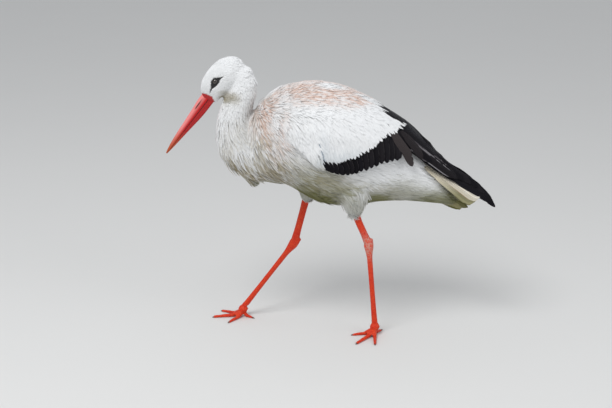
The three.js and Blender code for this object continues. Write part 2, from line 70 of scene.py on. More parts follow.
# ---------------------------------------------------------------------------
# Arrays of points and triangles
# ---------------------------------------------------------------------------


def unit(vectors):
    return vectors / np.maximum(np.linalg.norm(vectors, axis=-1, keepdims=True), 1e-12)


def arrays(mesh):
    """A mesh's points and triangles."""
    mesh.calc_loop_triangles()
    places = np.empty(len(mesh.vertices) * 3)
    mesh.vertices.foreach_get("co", places)
    corners = np.empty(len(mesh.loop_triangles) * 3, np.int32)
    mesh.loop_triangles.foreach_get("vertices", corners)
    return places.reshape(-1, 3), corners.reshape(-1, 3)


def cad_mesh(names):
    """Points and triangles of some CAD nodes together."""
    return joined(*[arrays(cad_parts[name].data) for name in names])


def joined(*meshes):
    """Several (points, triangles) as one."""
    counts = np.cumsum([0] + [len(points) for points, _ in meshes])
    triangles = [faces + start for (_, faces), start in zip(meshes, counts)]
    return np.concatenate([points for points, _ in meshes]), np.concatenate(triangles)


def search_tree(points, triangles):
    return BVHTree.FromPolygons(points.tolist(), triangles.tolist(), all_triangles=True)


def linked(name, data):
    """A new object in the scene."""
    made = bpy.data.objects.new(name, data)
    bpy.context.collection.objects.link(made)
    return made


def discard(thing):
    mesh = thing.data
    bpy.data.objects.remove(thing)
    bpy.data.meshes.remove(mesh)


def plain_mesh(name, points, triangles):
    mesh = bpy.data.meshes.new(name)
    mesh.vertices.add(len(points))
    mesh.vertices.foreach_set("co", np.asarray(points, np.float32).ravel())
    mesh.loops.add(len(triangles) * 3)
    mesh.loops.foreach_set("vertex_index", np.asarray(triangles, np.int32).ravel())
    mesh.polygons.add(len(triangles))
    mesh.polygons.foreach_set("loop_start", np.arange(0, len(triangles) * 3, 3, dtype=np.int32))
    mesh.update(calc_edges=True)
    return mesh


def remeshed(points, triangles, voxel, smoothing):
    """One closed, evened surface round all the bodies given."""
    thing = linked("rough", plain_mesh("rough", points, triangles))
    union = thing.modifiers.new("union", "REMESH")
    union.mode = "VOXEL"
    union.voxel_size = voxel
    even = thing.modifiers.new("even", "SMOOTH")
    even.factor = 0.5
    even.iterations = smoothing
    made = arrays(thing.evaluated_get(bpy.context.evaluated_depsgraph_get()).to_mesh())
    discard(thing)
    return made


def face_normals(points, triangles):
    a, b, c = (points[triangles[:, k]] for k in range(3))
    return np.cross(b - a, c - a)


def vertex_normals(points, triangles):
    faces = face_normals(points, triangles)
    total = np.zeros_like(points)
    for k in range(3):
        for axis in range(3):
            total[:, axis] += np.bincount(triangles[:, k], faces[:, axis], len(points))
    return unit(total)


def relaxed(points, triangles, times):
    """Each point moved halfway to the middle of its neighbours."""
    edges = np.concatenate([triangles[:, [0, 1]], triangles[:, [1, 2]], triangles[:, [2, 0]]])
    count = np.maximum(np.bincount(edges[:, 0], minlength=len(points)), 1)
    for _ in range(times):
        middle = np.stack(
            [np.bincount(edges[:, 0], points[edges[:, 1], k], len(points)) / count for k in range(3)], axis=1
        )
        points = points + 0.5 * (middle - points)
    return points


class Surface:
    """A closed surface that feathers are laid on."""

    def __init__(self, points, triangles):
        self.points, self.triangles = points, triangles
        self.normals = vertex_normals(points, triangles)
        self.tree = search_tree(points, triangles)

    def shares(self, places, faces):
        """Each place's barycentric weights in its triangle."""
        a, b, c = (self.points[self.triangles[faces, k]] for k in range(3))
        whole = np.cross(b - a, c - a)
        area = np.maximum((whole * whole).sum(1), 1e-20)
        first = (np.cross(b - places, c - places) * whole).sum(1) / area
        second = (np.cross(c - places, a - places) * whole).sum(1) / area
        return np.clip(np.stack([first, second, 1 - first - second], axis=1), 0, 1)

    def normal_at(self, places, faces):
        weights = self.shares(places, faces)
        return unit((self.normals[self.triangles[faces]] * weights[:, :, None]).sum(1))

    def nearest(self, targets):
        """The nearest places on the surface, with their normals and triangles."""
        find = self.tree.find_nearest
        found = [find(target) for target in targets.tolist()]
        places = np.array([f[0][:] for f in found])
        faces = np.array([f[2] for f in found])
        return places, self.normal_at(places, faces), faces

    def depth_below(self, limit):
        """How thick the body is under each point, up to a limit."""
        cast = self.tree.ray_cast
        starts = self.points - self.normals * 1e-4
        rays = zip(starts.tolist(), (-self.normals).tolist())
        found = [cast(Vector(start), Vector(way), limit)[3] for start, way in rays]
        return np.array([limit if f is None else f for f in found])


class Map:
    """Values that change smoothly over the bird's side view, from a few places in millimetres."""

    SHARPNESS, BLUR = 2.0, 7.0

    def __init__(self, rows):
        table = np.array(rows, float)
        self.at, self.values = table[:, :2], table[:, 2:]

    def __call__(self, points):
        side_view = points[:, [0, 2]] / MM
        gap = ((side_view[:, None, :] - self.at[None]) ** 2).sum(-1) + self.BLUR**2
        weight = gap**-self.SHARPNESS
        return (weight @ self.values) / weight.sum(1, keepdims=True)


def waves(points, size, seed):
    """Smooth random values, about -1 to 1, that change over a distance of about `size` metres."""
    draw = np.random.default_rng(seed)
    total = np.zeros(len(points))
    count = 9
    for _ in range(count):
        direction = unit(draw.normal(size=3)) * draw.uniform(0.6, 1.6) * math.pi / size
        total += np.sin(points @ direction + draw.uniform(0, 2 * math.pi))
    return total / math.sqrt(count)


# ---------------------------------------------------------------------------
# The lie of the coat: places in the side view, with the way the feathers point
# in degrees (0 is towards the tail, -90 down), and sizes in millimetres
# ---------------------------------------------------------------------------

# x, z, lie, length, half width, coat depth, spacing, how far tips stand off the body
BODY_COAT = Map([
    (-314, 607, 60, 4, 1.0, 0.8, 1.6, 0.1),  # over the bill
    (-300, 600, 50, 4, 1.0, 0.8, 1.6, 0.1),  # beside the bill
    (-277, 590, 15, 7, 1.1, 1.4, 1.7, 0.7),  # chin
    (-300, 632, 60, 6, 1.1, 1.2, 1.6, 0.1),  # lores
    (-298, 664, 58, 8, 1.4, 2.0, 2.0, 0.2),  # forehead
    (-272, 664, 45, 8, 1.4, 1.8, 1.9, 0.1),
    (-262, 694, 14, 10, 1.5, 2.6, 2.2, 0.4),  # crown
    (-243, 697, 2, 18, 1.5, 3.0, 2.3, 5.0),
    (-256, 650, 12, 8, 1.3, 1.8, 1.8, 0.1),  # behind the eye
    (-266, 620, 10, 8, 1.3, 1.8, 1.8, 0.3),  # cheek
    (-230, 648, -28, 13, 1.4, 2.4, 2.2, 0.6),  # ear
    (-246, 606, -32, 14, 1.4, 2.6, 2.2, 2.0),  # jaw
    (-227, 692, -8, 23, 1.4, 3.2, 2.2, 7.0),  # back of the crown
    (-212, 683, -26, 23, 1.3, 3.4, 2.2, 6.0),
    (-196, 666, -56, 22, 1.3, 4.2, 2.3, 5.5),
    (-183, 642, -80, 23, 1.3, 5.0, 2.4, 6.0),  # nape
    (-180, 605, -97, 26, 1.4, 6.0, 2.6, 6.0),
    (-222, 590, -92, 30, 1.5, 4.6, 2.7, 1.5),
    (-265, 572, -92, 28, 1.5, 4.6, 2.7, 3.0),  # throat
    (-280, 530, -86, 50, 1.6, 6.0, 3.1, 6.0),  # front of the neck
    (-238, 540, -82, 52, 1.6, 6.0, 3.1, 3.0),
    (-200, 555, -66, 44, 1.6, 6.0, 3.1, 2.5),
    (-277, 485, -78, 84, 1.7, 9.0, 3.4, 11.0),  # ruff
    (-238, 480, -70, 84, 1.7, 9.0, 3.4, 6.0),
    (-256, 440, -70, 76, 1.7, 10.0, 3.5, 15.0),
    (-222, 420, -62, 62, 1.7, 10.0, 3.4, 16.0),
    (-214, 398, -22, 50, 1.6, 8.0, 3.2, 10.0),
    (-192, 392, -18, 50, 1.6, 8.0, 3.2, 8.0),
    (-180, 575, -30, 36, 1.7, 6.0, 3.4, 4.5),  # shoulder
    (-168, 530, -46, 42, 1.8, 7.0, 3.5, 4.0),
    (-170, 475, -58, 66, 2.0, 8.0, 3.9, 6.0),
    (-140, 430, -46, 62, 2.4, 8.0, 4.4, 4.0),  # side of the breast
    (-144, 610, 8, 32, 1.9, 6.0, 3.6, 4.5),  # mantle
    (-165, 392, -40, 60, 2.2, 8.0, 3.8, 14.0),  # breast
    (-92, 374, -18, 56, 2.8, 6.0, 4.7, 6.0),
    (-20, 340, -6, 56, 2.8, 5.0, 4.8, 6.0),  # belly
    (-45, 410, -22, 56, 3.0, 4.0, 4.8, 2.0),
    (55, 400, -22, 56, 3.0, 4.0, 4.8, 2.0),
    (105, 345, -8, 56, 2.8, 5.0, 4.8, 6.0),
    (180, 345, -5, 58, 2.8, 5.0, 4.8, 6.0),  # under the tail
    (255, 335, -12, 60, 2.2, 5.0, 4.2, 12.0),
    (200, 400, -16, 58, 3.0, 4.0, 4.8, 2.0),
    (200, 480, -46, 46, 3.0, 4.0, 4.8, 1.0),  # rump
])
UNDERTAIL_COAT = Map([
    (215, 340, -10, 74, 2.8, 4.0, 4.4, 12.0),
    (250, 336, -14, 66, 2.6, 4.0, 3.8, 14.0),
    (280, 333, -21, 54, 2.2, 4.0, 3.1, 12.0),
    (275, 370, -28, 46, 2.4, 4.0, 3.6, 5.0),
])
STRAND_COAT = Map([  # the long feathers that hang loosely from the ruff
    (-275, 470, -76, 72, 1.8, 4.0, 7.5, 18.0),
    (-262, 430, -70, 52, 1.7, 4.0, 7.0, 24.0),
    (-225, 450, -68, 66, 1.8, 4.0, 8.0, 12.0),
    (-215, 415, -60, 46, 1.7, 4.0, 6.5, 20.0),
    (-190, 420, -56, 50, 1.7, 4.0, 7.0, 14.0),
    (-200, 402, -34, 42, 1.7, 3.0, 4.6, 9.0),
    (-176, 396, -28, 44, 1.7, 3.0, 4.6, 7.0),
    (-160, 440, -44, 56, 1.9, 4.0, 9.0, 8.0),
])
THIGH_COAT = Map([
    (45, 400, -62, 50, 2.2, 5.0, 3.6, 4.0),
    (56, 360, -72, 52, 1.6, 4.0, 2.9, 9.0),
    (58, 335, -80, 50, 1.2, 3.0, 2.3, 16.0),
    (50, 318, -86, 40, 1.0, 2.5, 1.9, 22.0),
    (-47, 404, -78, 44, 2.2, 5.0, 3.6, 3.0),
    (-56, 360, -88, 42, 1.6, 4.0, 2.9, 5.0),
    (-63, 330, -92, 36, 1.2, 2.5, 2.2, 13.0),
])
WING_COAT = Map([
    (-118, 600, -20, 32, 2.0, 5.0, 3.6, 3.5),  # bend of the wing
    (-116, 545, -62, 36, 2.4, 4.0, 4.0, 2.5),
    (-85, 500, -66, 44, 3.0, 3.5, 4.5, 3.0),
    (-30, 462, -70, 50, 3.2, 3.0, 4.6, 1.0),
    (-80, 628, -2, 34, 2.0, 5.0, 3.7, 4.0),  # mantle
    (0, 630, -10, 38, 2.3, 5.0, 4.0, 3.0),
    (60, 610, -24, 42, 2.8, 4.5, 4.5, 1.5),  # scapulars
    (100, 585, -32, 46, 3.0, 4.0, 4.6, 1.0),
    (-40, 590, -26, 36, 2.6, 4.0, 4.2, 1.5),
    (-40, 540, -62, 44, 3.2, 3.2, 4.6, 0.8),
    (20, 560, -42, 44, 3.2, 3.2, 4.6, 0.8),
    (20, 500, -72, 52, 3.4, 3.0, 4.6, 1.0),
    (80, 545, -52, 48, 3.2, 3.0, 4.5, 0.8),
    (90, 510, -64, 50, 3.0, 3.0, 4.3, 1.0),
    (140, 550, -56, 48, 2.6, 3.0, 4.1, 1.0),
])

# Stains, dirt and painted shade on the white: x, z, half width, half height, strength
PINK_PATCHES = [
    (-160, 566, 34, 44, 0.85),  # shoulder
    (-150, 520, 26, 40, 0.75),
    (-95, 622, 62, 22, 0.75),  # mantle
    (-25, 622, 60, 20, 0.7),
    (35, 612, 42, 13, 0.75),  # scapulars
]
# Painted shade: beige darkening over the ruff's lower part, the breast's side and the flank
BEIGE_SHADE_PATCHES = [
    (-238, 445, 58, 66, 0.9),  # ruff
    (-252, 450, 40, 42, 0.85),
    (-185, 420, 60, 55, 0.85),
    (-150, 480, 42, 40, 0.8),
    (-170, 516, 30, 26, 0.5),
    (-215, 520, 50, 50, 0.3),
    (-95, 415, 100, 50, 0.8),  # flank
    (40, 380, 120, 36, 0.45),
]
# Olive on the underside and the ruff's ends: partly dirt, partly painted shade and painted green light from
# below
OLIVE_DIRT_AND_SHADE_PATCHES = [
    (-60, 337, 150, 57, 0.97),  # belly
    (-110, 369, 100, 42, 0.95),
    (20, 345, 110, 34, 0.9),
    (150, 326, 158, 72, 0.97),
    (275, 335, 90, 60, 0.97),  # under the tail
    (-200, 384, 70, 30, 0.85),  # ends of the ruff
    (-70, 445, 60, 44, 0.6),  # painted shade in the fold of the flank before the wing
    (-40, 392, 90, 34, 0.5),
]
SHADE_PATCHES = [
    (-34, 510, 12, 44, 0.35),  # beside the gap in the coverts
    (10, 494, 50, 26, 0.4),  # low coverts
]
# Painted shade in the crease behind the jaw, where the head meets the neck
JAW_SHADE_PATCHES = [
    (-264, 597, 11, 7, 0.75),  # crease behind the jaw
    (-252, 602, 15, 9, 0.6),
    (-238, 609, 15, 10, 0.45),
    (-262, 612, 15, 6, 0.35),
]
ROOT_SHADE_PATCHES = [
    (-238, 450, 60, 80, 1.0),  # painted shade: the ruff's feathers darker towards their roots, in the gaps between them
    (-170, 430, 60, 60, 0.9),
    (-215, 560, 60, 60, 0.45),
    (-130, 570, 70, 70, 0.3),
]
# Bare black skin round the eye: place back from the bill, height from the eye's, and reach each side of that
BARE_SKIN = [
    (16, -7.0, 0.4), (20, -6.0, 1.0), (27, -4.0, 2.2), (34, -2.2, 4.2), (40, -0.5, 7.6), (48, 0.2, 9.4),
    (54, -0.4, 8.4), (59, -2.0, 5.0), (65, -4.4, 2.6), (72, -7.0, 0.6),
]
# The bill's red skin on the face: height over the bill's line, and how far back it reaches there
RED_SKIN = [(-14, 6), (-5, 13), (5, 12), (13, 9), (20, 3), (26, -3), (34, -8)]

WHITE = np.array([0.83, 0.84, 0.85])
BEIGE_SHADE = np.array([0.37, 0.32, 0.21])
JAW_SHADE = np.array([0.23, 0.19, 0.09])
ROOT_SHADE = np.array([0.52, 0.48, 0.40])
PINK = np.array([0.62, 0.41, 0.32])
OLIVE_DIRT_AND_SHADE = np.array([0.135, 0.134, 0.027])
SHADE = np.array([0.42, 0.48, 0.52])
CREAM = np.array([0.80, 0.72, 0.52])
TAN = np.array([0.30, 0.19, 0.07])
BLACK = np.array([0.007, 0.0065, 0.009])
SLATE = np.array([0.22, 0.28, 0.35])
BROWN = np.array([0.052, 0.044, 0.044])
RED = np.array([0.50, 0.012, 0.012])
# Paler edges of the black feathers: a painted highlight on the secondaries and primaries, a bluish painted
# sheen on the feathers along the back, and thin pale rims on the tertials
PANEL_HIGHLIGHT_RIM, PRIMARY_HIGHLIGHT_RIM, BACK_SHEEN_RIM = (0.03, 0.028, 0.03), (0.03, 0.029, 0.034), (0.03, 0.03, 0.045)
TERTIAL_RIMS = [(0.16, 0.15, 0.16), (0.40, 0.39, 0.41), (0.12, 0.11, 0.12)]
SLIT_SHADOW_GREY = SLATE * 1.3


def patches(points, places):
    """How strongly some soft-edged patches cover each point, 0 to 1."""
    side_view = points[:, [0, 2]] / MM
    clear = np.ones(len(points))
    for x, z, wide, high, strength in places:
        reach = ((side_view[:, 0] - x) / wide) ** 2 + ((side_view[:, 1] - z) / high) ** 2
        clear *= 1 - strength * np.exp(-(reach**1.5))
    return 1 - clear


def mixed(first, second, share):
    return first + (second - first) * np.asarray(share)[:, None]


def plumage_colour(points, chance):
    """The white plumage with its pink stains, olive dirt and painted shade, and painted green light below.
    `chance` is a random number for each feather.
    """
    colour = WHITE * (0.93 + 0.07 * chance)[:, None]
    pink = patches(points, PINK_PATCHES) * np.clip(0.75 + 0.55 * waves(points, 0.03, 3), 0, 1)
    pink *= np.where(chance > 0.45, 1.0, 0.35)
    beige = patches(points, BEIGE_SHADE_PATCHES)
    beige *= np.clip(0.6 + 1.2 * (chance - 0.5) + 0.3 * waves(points, 0.04, 5), 0, 1)
    olive = patches(points, OLIVE_DIRT_AND_SHADE_PATCHES) * np.clip(0.9 + 0.3 * waves(points, 0.05, 4), 0, 1)
    colour = mixed(mixed(mixed(colour, PINK, pink), BEIGE_SHADE, beige), OLIVE_DIRT_AND_SHADE, olive * 0.95)
    colour = mixed(colour, SHADE, patches(points, SHADE_PATCHES))
    return mixed(colour, JAW_SHADE, patches(points, JAW_SHADE_PATCHES) * (np.abs(points[:, 1]) > 0.006))


def thigh_colour(points, chance):
    """The thighs are whiter than the belly beside them, with less of its olive dirt and painted shade, and
    whitest low down.
    """
    return mixed(plumage_colour(points, chance), WHITE, np.interp(points[:, 2] / MM, [320, 375], [0.7, 0.3]))


def shaded_root_colour(points, colour):
    """The colour towards the roots of feathers whose tips have the colour given, darkened by painted shade
    between the feathers, most in the ruff.
    """
    share = 0.12 + 0.88 * patches(points, ROOT_SHADE_PATCHES)
    return colour * (1 - share[:, None] * (1 - ROOT_SHADE))


def head_place(points):
    """Millimetres back from the bill's base along the head, and above the bill's line."""
    away = points - BILL_BASE
    return away @ HEAD_AXIS / MM, away @ HEAD_RISE / MM


def bareness(points, margin=0.0):
    """1 on the bare black skin round the eye, 0 in the feathers, and smooth between."""
    back, rise = head_place(points)
    at, offset, half = np.array(BARE_SKIN).T
    reach = np.interp(back, at, half, left=-4.0, right=-4.0)
    eye_rise = (eye_middle("left") - BILL_BASE) @ HEAD_RISE / MM
    away = np.abs(rise - eye_rise - np.interp(back, at, offset))
    on_head = np.abs(points[:, 1]) > 0.008
    return np.clip((reach + margin - away) / 1.2 + 0.5, 0, 1) * on_head


def redness(points):
    """1 on the red skin that runs from the bill onto the face, 0 in the feathers, and smooth between."""
    back, rise = head_place(points)
    reach = np.interp(rise, *np.array(RED_SKIN, float).T)
    near = (back > -12) & (rise > -16) & (rise < 40)
    return np.clip(reach - back + 0.5, 0, 1) * near


# ---------------------------------------------------------------------------
# Materials
# ---------------------------------------------------------------------------


class Nodes:
    """A material made of nodes, with one Principled shader."""

    def __init__(self, name, **values):
        self.material = bpy.data.materials.new(name)
        self.material.use_nodes = True
        self.tree = self.material.node_tree
        self.shader = self.tree.nodes["Principled BSDF"]
        for socket, value in values.items():
            self.shader.inputs[socket.replace("_", " ")].default_value = value

    def add(self, kind, settings=None, **inputs):
        node = self.tree.nodes.new(kind)
        for key, value in (settings or {}).items():
            setattr(node, key, value)
        for key, value in inputs.items():
            self.feed(node.inputs[key.replace("_", " ")], value)
        return node

    def feed(self, socket, value):
        if isinstance(value, bpy.types.NodeSocket):
            self.tree.links.new(value, socket)
        else:
            socket.default_value = value

    def attribute(self, name):
        return self.add("ShaderNodeAttribute", {"attribute_name": name})

    def math(self, operation, first, second=0.0, clamp=False):
        node = self.tree.nodes.new("ShaderNodeMath")
        node.operation = operation
        node.use_clamp = clamp
        self.feed(node.inputs[0], first)
        self.feed(node.inputs[1], second)
        return node.outputs[0]

    def mix(self, share, first, second, blend="MIX"):
        node = self.tree.nodes.new("ShaderNodeMix")
        node.data_type = "RGBA"
        node.blend_type = blend
        self.feed(node.inputs[0], share)
        self.feed(node.inputs[6], first)
        self.feed(node.inputs[7], second)
        return node.outputs[2]

    def noise(self, vector, scale, detail=3.0):
        node = self.add("ShaderNodeTexNoise", Vector=vector, Scale=scale, Detail=detail)
        return node.outputs["Fac"]

    def ramp(self, value, low, high):
        node = self.add("ShaderNodeMapRange", Value=value, From_Min=low, From_Max=high)
        return node.outputs[0]

    def bump(self, height, strength, distance):
        node = self.add("ShaderNodeBump", Height=height, Strength=strength, Distance=distance)
        return node.outputs["Normal"]

    def set(self, socket, value):
        self.feed(self.shader.inputs[socket], value)


def object_place(nodes):
    return nodes.add("ShaderNodeTexCoord").outputs["Object"]


def coat_material(name, roughness, grain):
    """Feathers: their own tint, with a fine grain over it."""
    made = Nodes(name, Roughness=roughness, Specular_IOR_Level=0.3)
    fine = made.noise(object_place(made), grain, 4.0)
    shade = made.ramp(fine, 0.3, 0.7)
    tint = made.attribute("tint").outputs["Color"]
    dimmed = made.mix(1.0, tint, (0.90, 0.90, 0.90, 1.0), "MULTIPLY")
    made.set("Base Color", made.mix(shade, dimmed, tint))
    return made.material


def vane_material(name, roughness, barbs, specular):
    """Large feathers: tint, with fine slanting barbs. `vane` holds along, across and a random number."""
    made = Nodes(name, Roughness=roughness, Specular_IOR_Level=specular)
    vane = made.attribute("vane").outputs["Vector"]
    split = made.add("ShaderNodeSeparateXYZ", Vector=vane)
    along, across = split.outputs["X"], split.outputs["Y"]
    slant = made.math("SUBTRACT", along, made.math("MULTIPLY", made.math("ABSOLUTE", across), 0.6))
    wavy = made.math("ADD", slant, made.math("MULTIPLY", made.noise(object_place(made), 160.0), 0.01))
    lines = made.math("SINE", made.math("MULTIPLY", wavy, barbs))
    streak = made.ramp(lines, -1.0, 1.0)
    tint = made.attribute("tint").outputs["Color"]
    dimmed = made.mix(1.0, tint, (0.62, 0.60, 0.60, 1.0), "MULTIPLY")
    made.set("Base Color", made.mix(streak, dimmed, tint))
    made.set("Normal", made.bump(streak, 0.35, 0.0004))
    return made.material


def skin_material():
    """Under the feathers: the plumage's own tint, black and finely creased round the eye."""
    made = Nodes("skin", Roughness=0.6)
    place = object_place(made)
    tint = made.attribute("tint").outputs["Color"]
    pores = made.noise(place, 900.0, 2.0)
    dimmed = made.mix(1.0, tint, (0.7, 0.68, 0.66, 1), "MULTIPLY")
    made.set("Base Color", made.mix(made.ramp(pores, 0.35, 0.65), tint, dimmed))
    made.set("Normal", made.bump(pores, 0.5, 0.0005))
    return made.material


def leg_material():
    """Orange-red leg skin with its scales, laid by `scales`, and a chalky crust where `crust` is high."""
    made = Nodes("leg_skin", Specular_IOR_Level=0.2)
    place = object_place(made)
    scales = made.attribute("scales").outputs["Vector"]
    cells = made.add("ShaderNodeTexVoronoi", {"feature": "DISTANCE_TO_EDGE"}, Vector=scales, Scale=1.0)
    groove = made.ramp(cells.outputs["Distance"], 0.0, 0.14)
    own = made.add("ShaderNodeTexVoronoi", {"feature": "F1"}, Vector=scales, Scale=1.0)
    varied = made.add("ShaderNodeSeparateColor", Color=own.outputs["Color"]).outputs[0]
    blotch = made.ramp(made.noise(place, 45.0), 0.3, 0.7)
    red = made.mix(blotch, (0.62, 0.026, 0.010, 1.0), (0.74, 0.060, 0.014, 1.0))
    scaled = made.mix(made.math("MULTIPLY", varied, 0.30), red, (0.80, 0.14, 0.04, 1.0))
    grooved = made.mix(groove, (0.52, 0.018, 0.009, 1.0), scaled)
    crust = made.attribute("crust").outputs["Fac"]
    speckle = made.ramp(made.noise(place, 260.0, 4.0), 0.38, 0.6)
    share = made.math("MULTIPLY", crust, speckle, clamp=True)
    chalk = made.mix(share, grooved, (0.60, 0.25, 0.20, 1.0))
    made.set("Base Color", chalk)
    made.set("Roughness", made.math("ADD", made.math("MULTIPLY", share, 0.35), 0.42))
    height = made.math("ADD", groove, made.math("MULTIPLY", speckle, 0.15))
    made.set("Normal", made.bump(height, 0.5, 0.0005))
    return made.material


def bill_material():
    """Red horn, with a painted pink highlight along its top that is partly chalk, painted shade in the
    nostril and along the gape, an orange tip and fine lengthwise grain.
    """
    made = Nodes("bill", Specular_IOR_Level=0.35, Coat_Weight=0.06, Coat_Roughness=0.3)
    horn = made.attribute("horn")  # along from base to tip, up from the gape, and painted shade
    split = made.add("ShaderNodeSeparateXYZ", Vector=horn.outputs["Vector"])
    along, up, dark = split.outputs["X"], split.outputs["Y"], split.outputs["Z"]
    stretched = made.add("ShaderNodeCombineXYZ", X=made.math("MULTIPLY", along, 5.0), Y=up)
    grain = made.noise(stretched.outputs[0], 9.0, 5.0)
    red = made.mix(made.ramp(grain, 0.3, 0.7), (0.37, 0.004, 0.006, 1), (0.51, 0.009, 0.009, 1))
    # painted highlight along the top, partly chalk
    pink = made.mix(made.ramp(up, 0.2, 0.7), red, (0.80, 0.24, 0.23, 1))
    tip = made.mix(made.ramp(along, 0.55, 0.95), pink, (0.42, 0.075, 0.015, 1))
    # painted shade where `dark` is high: the nostril's slit, the gape and the lower jaw's pressed-in line
    made.set("Base Color", made.mix(dark, tip, (0.035, 0.008, 0.008, 1)))
    made.set("Roughness", made.ramp(grain, 0.0, 2.2))
    made.set("Normal", made.bump(grain, 0.25, 0.0006))
    return made.material


def eye_material():
    """A dark iris and a black pupil, under a clear wet surface. `gaze` is the angle from the middle."""
    made = Nodes("eye", Roughness=0.08, Coat_Weight=1.0, Coat_Roughness=0.03)
    gaze = made.attribute("gaze").outputs["Fac"]
    streaks = made.noise(object_place(made), 900.0, 3.0)
    iris = made.mix(streaks, (0.016, 0.009, 0.006, 1), (0.05, 0.030, 0.020, 1))
    edge = made.mix(made.ramp(gaze, 0.66, 0.80), iris, (0.006, 0.005, 0.005, 1))
    made.set("Base Color", made.mix(made.ramp(gaze, 0.40, 0.34), edge, (0.002, 0.002, 0.002, 1)))
    return made.material


def claw_material():
    """Dark brown horn with a paler grain."""
    made = Nodes("claw", Roughness=0.35)
    grain = made.noise(object_place(made), 500.0, 4.0)
    made.set("Base Color", made.mix(grain, (0.05, 0.028, 0.022, 1), (0.17, 0.10, 0.075, 1)))
    made.set("Normal", made.bump(grain, 0.3, 0.0003))
    return made.material


def floor_material(colour):
    made = Nodes("floor", Roughness=0.9)
    grain = made.noise(object_place(made), 3.0)
    made.set("Base Color", made.mix(grain, (*colour, 1), (*[c * 0.985 for c in colour], 1)))
    return made.material


MATERIALS = {
    "coat": coat_material("white_plumage", 0.8, 700.0),
    "black": vane_material("black_feathers", 0.34, 420.0, 0.07),
    "tail": vane_material("tail_feathers", 0.7, 420.0, 0.3),
    "skin": skin_material(),
    "leg": leg_material(),
    "bill": bill_material(),
    "eye": eye_material(),
    "claw": claw_material(),
}


# ---------------------------------------------------------------------------
# Pieces
# ---------------------------------------------------------------------------


def attribute(mesh, name, values):
    """Gives each point of a mesh one number or three."""
    values = np.asarray(values, np.float32)
    if values.ndim == 1:
        made = mesh.attributes.new(name, "FLOAT", "POINT")
        made.data.foreach_set("value", values)
    elif name == "tint":
        made = mesh.attributes.new(name, "FLOAT_COLOR", "POINT")
        opaque = np.column_stack([values, np.ones(len(values))])
        made.data.foreach_set("color", opaque.astype(np.float32).ravel())
    else:
        made = mesh.attributes.new(name, "FLOAT_VECTOR", "POINT")
        made.data.foreach_set("vector", values.ravel())


def piece(name, points, triangles, material, attributes=None, bake_map=None, crease=None):
    """A new object that rides on the bird. `crease` is the angle over which edges stay sharp."""
    mesh = plain_mesh(name, points, triangles)
    mesh.materials.append(material)
    for key, values in (attributes or {}).items():
        attribute(mesh, key, values)
    if bake_map is not None:
        layer = mesh.uv_layers.new(name="OFBake")
        layer.uv.foreach_set("vector", np.asarray(bake_map[triangles.ravel()], np.float32).ravel())
    mesh.polygons.foreach_set("use_smooth", np.ones(len(triangles), bool))
    if crease is not None:
        mesh.set_sharp_from_angle(angle=math.radians(crease))
    made = linked(name, mesh)
    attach(made, "root")
    return made


def eye_middle(side):
    return np.mean(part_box(f"eye_{side}"), axis=0)


def eye_radius(side):
    low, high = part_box(f"eye_{side}")
    return (high[2] - low[2]) / 2


# ---------------------------------------------------------------------------
# Lofts that follow the solids
# ---------------------------------------------------------------------------


def span(points, origin, axis):
    reach = (points - origin) @ axis
    return reach.min(), reach.max()


def sections(points, triangles, origin, axis, across, distances):
    """Middle and half sizes of a solid where planes square to an axis cut it."""
    up = np.cross(axis, across)
    edges = np.concatenate([triangles[:, [0, 1]], triangles[:, [1, 2]], triangles[:, [0, 2]]])
    edges = np.unique(np.sort(edges, axis=1), axis=0)
    height = (points - origin) @ axis
    rows = []
    for distance in distances:
        low, high = height[edges[:, 0]] - distance, height[edges[:, 1]] - distance
        cut = low * high < 0
        share = (low[cut] / (low[cut] - high[cut]))[:, None]
        places = points[edges[cut, 0]] * (1 - share) + points[edges[cut, 1]] * share
        side, rise = (places - origin) @ across, (places - origin) @ up
        rows.append([side.min(), side.max(), rise.min(), rise.max()])
    return np.array(rows), up


def evened(rows, times=2):
    """Takes the small steps out of a row of measured sections."""
    for _ in range(times):
        middle = (rows[:-2] + 2 * rows[1:-1] + rows[2:]) / 4
        rows = np.concatenate([rows[:1], middle, rows[-1:]])
    return rows


def band(ring, following):
    """The triangles between two closed rings, given as point numbers."""
    next_ring, next_following = np.roll(ring, -1), np.roll(following, -1)
    return [np.stack([ring, next_ring, next_following], 1), np.stack([ring, next_following, following], 1)]


def tube(rings):
    """A closed surface through rings of points, as (points, triangles)."""
    count, around = rings.shape[:2]
    points = np.concatenate([rings.reshape(-1, 3), rings[[0, -1]].mean(1)])
    numbers = np.arange(count * around).reshape(count, around)
    triangles = []
    for ring, following in zip(numbers, numbers[1:]):
        triangles += band(ring, following)
    first, last = numbers[0], numbers[-1]
    triangles.append(np.stack([np.full(around, count * around), np.roll(first, -1), first], 1))
    triangles.append(np.stack([np.full(around, count * around + 1), last, np.roll(last, -1)], 1))
    triangles = np.concatenate(triangles)
    if (face_normals(points, triangles) * (points[triangles].mean(1) - points.mean(0))).sum() < 0:
        triangles = triangles[:, ::-1]
    return points, triangles


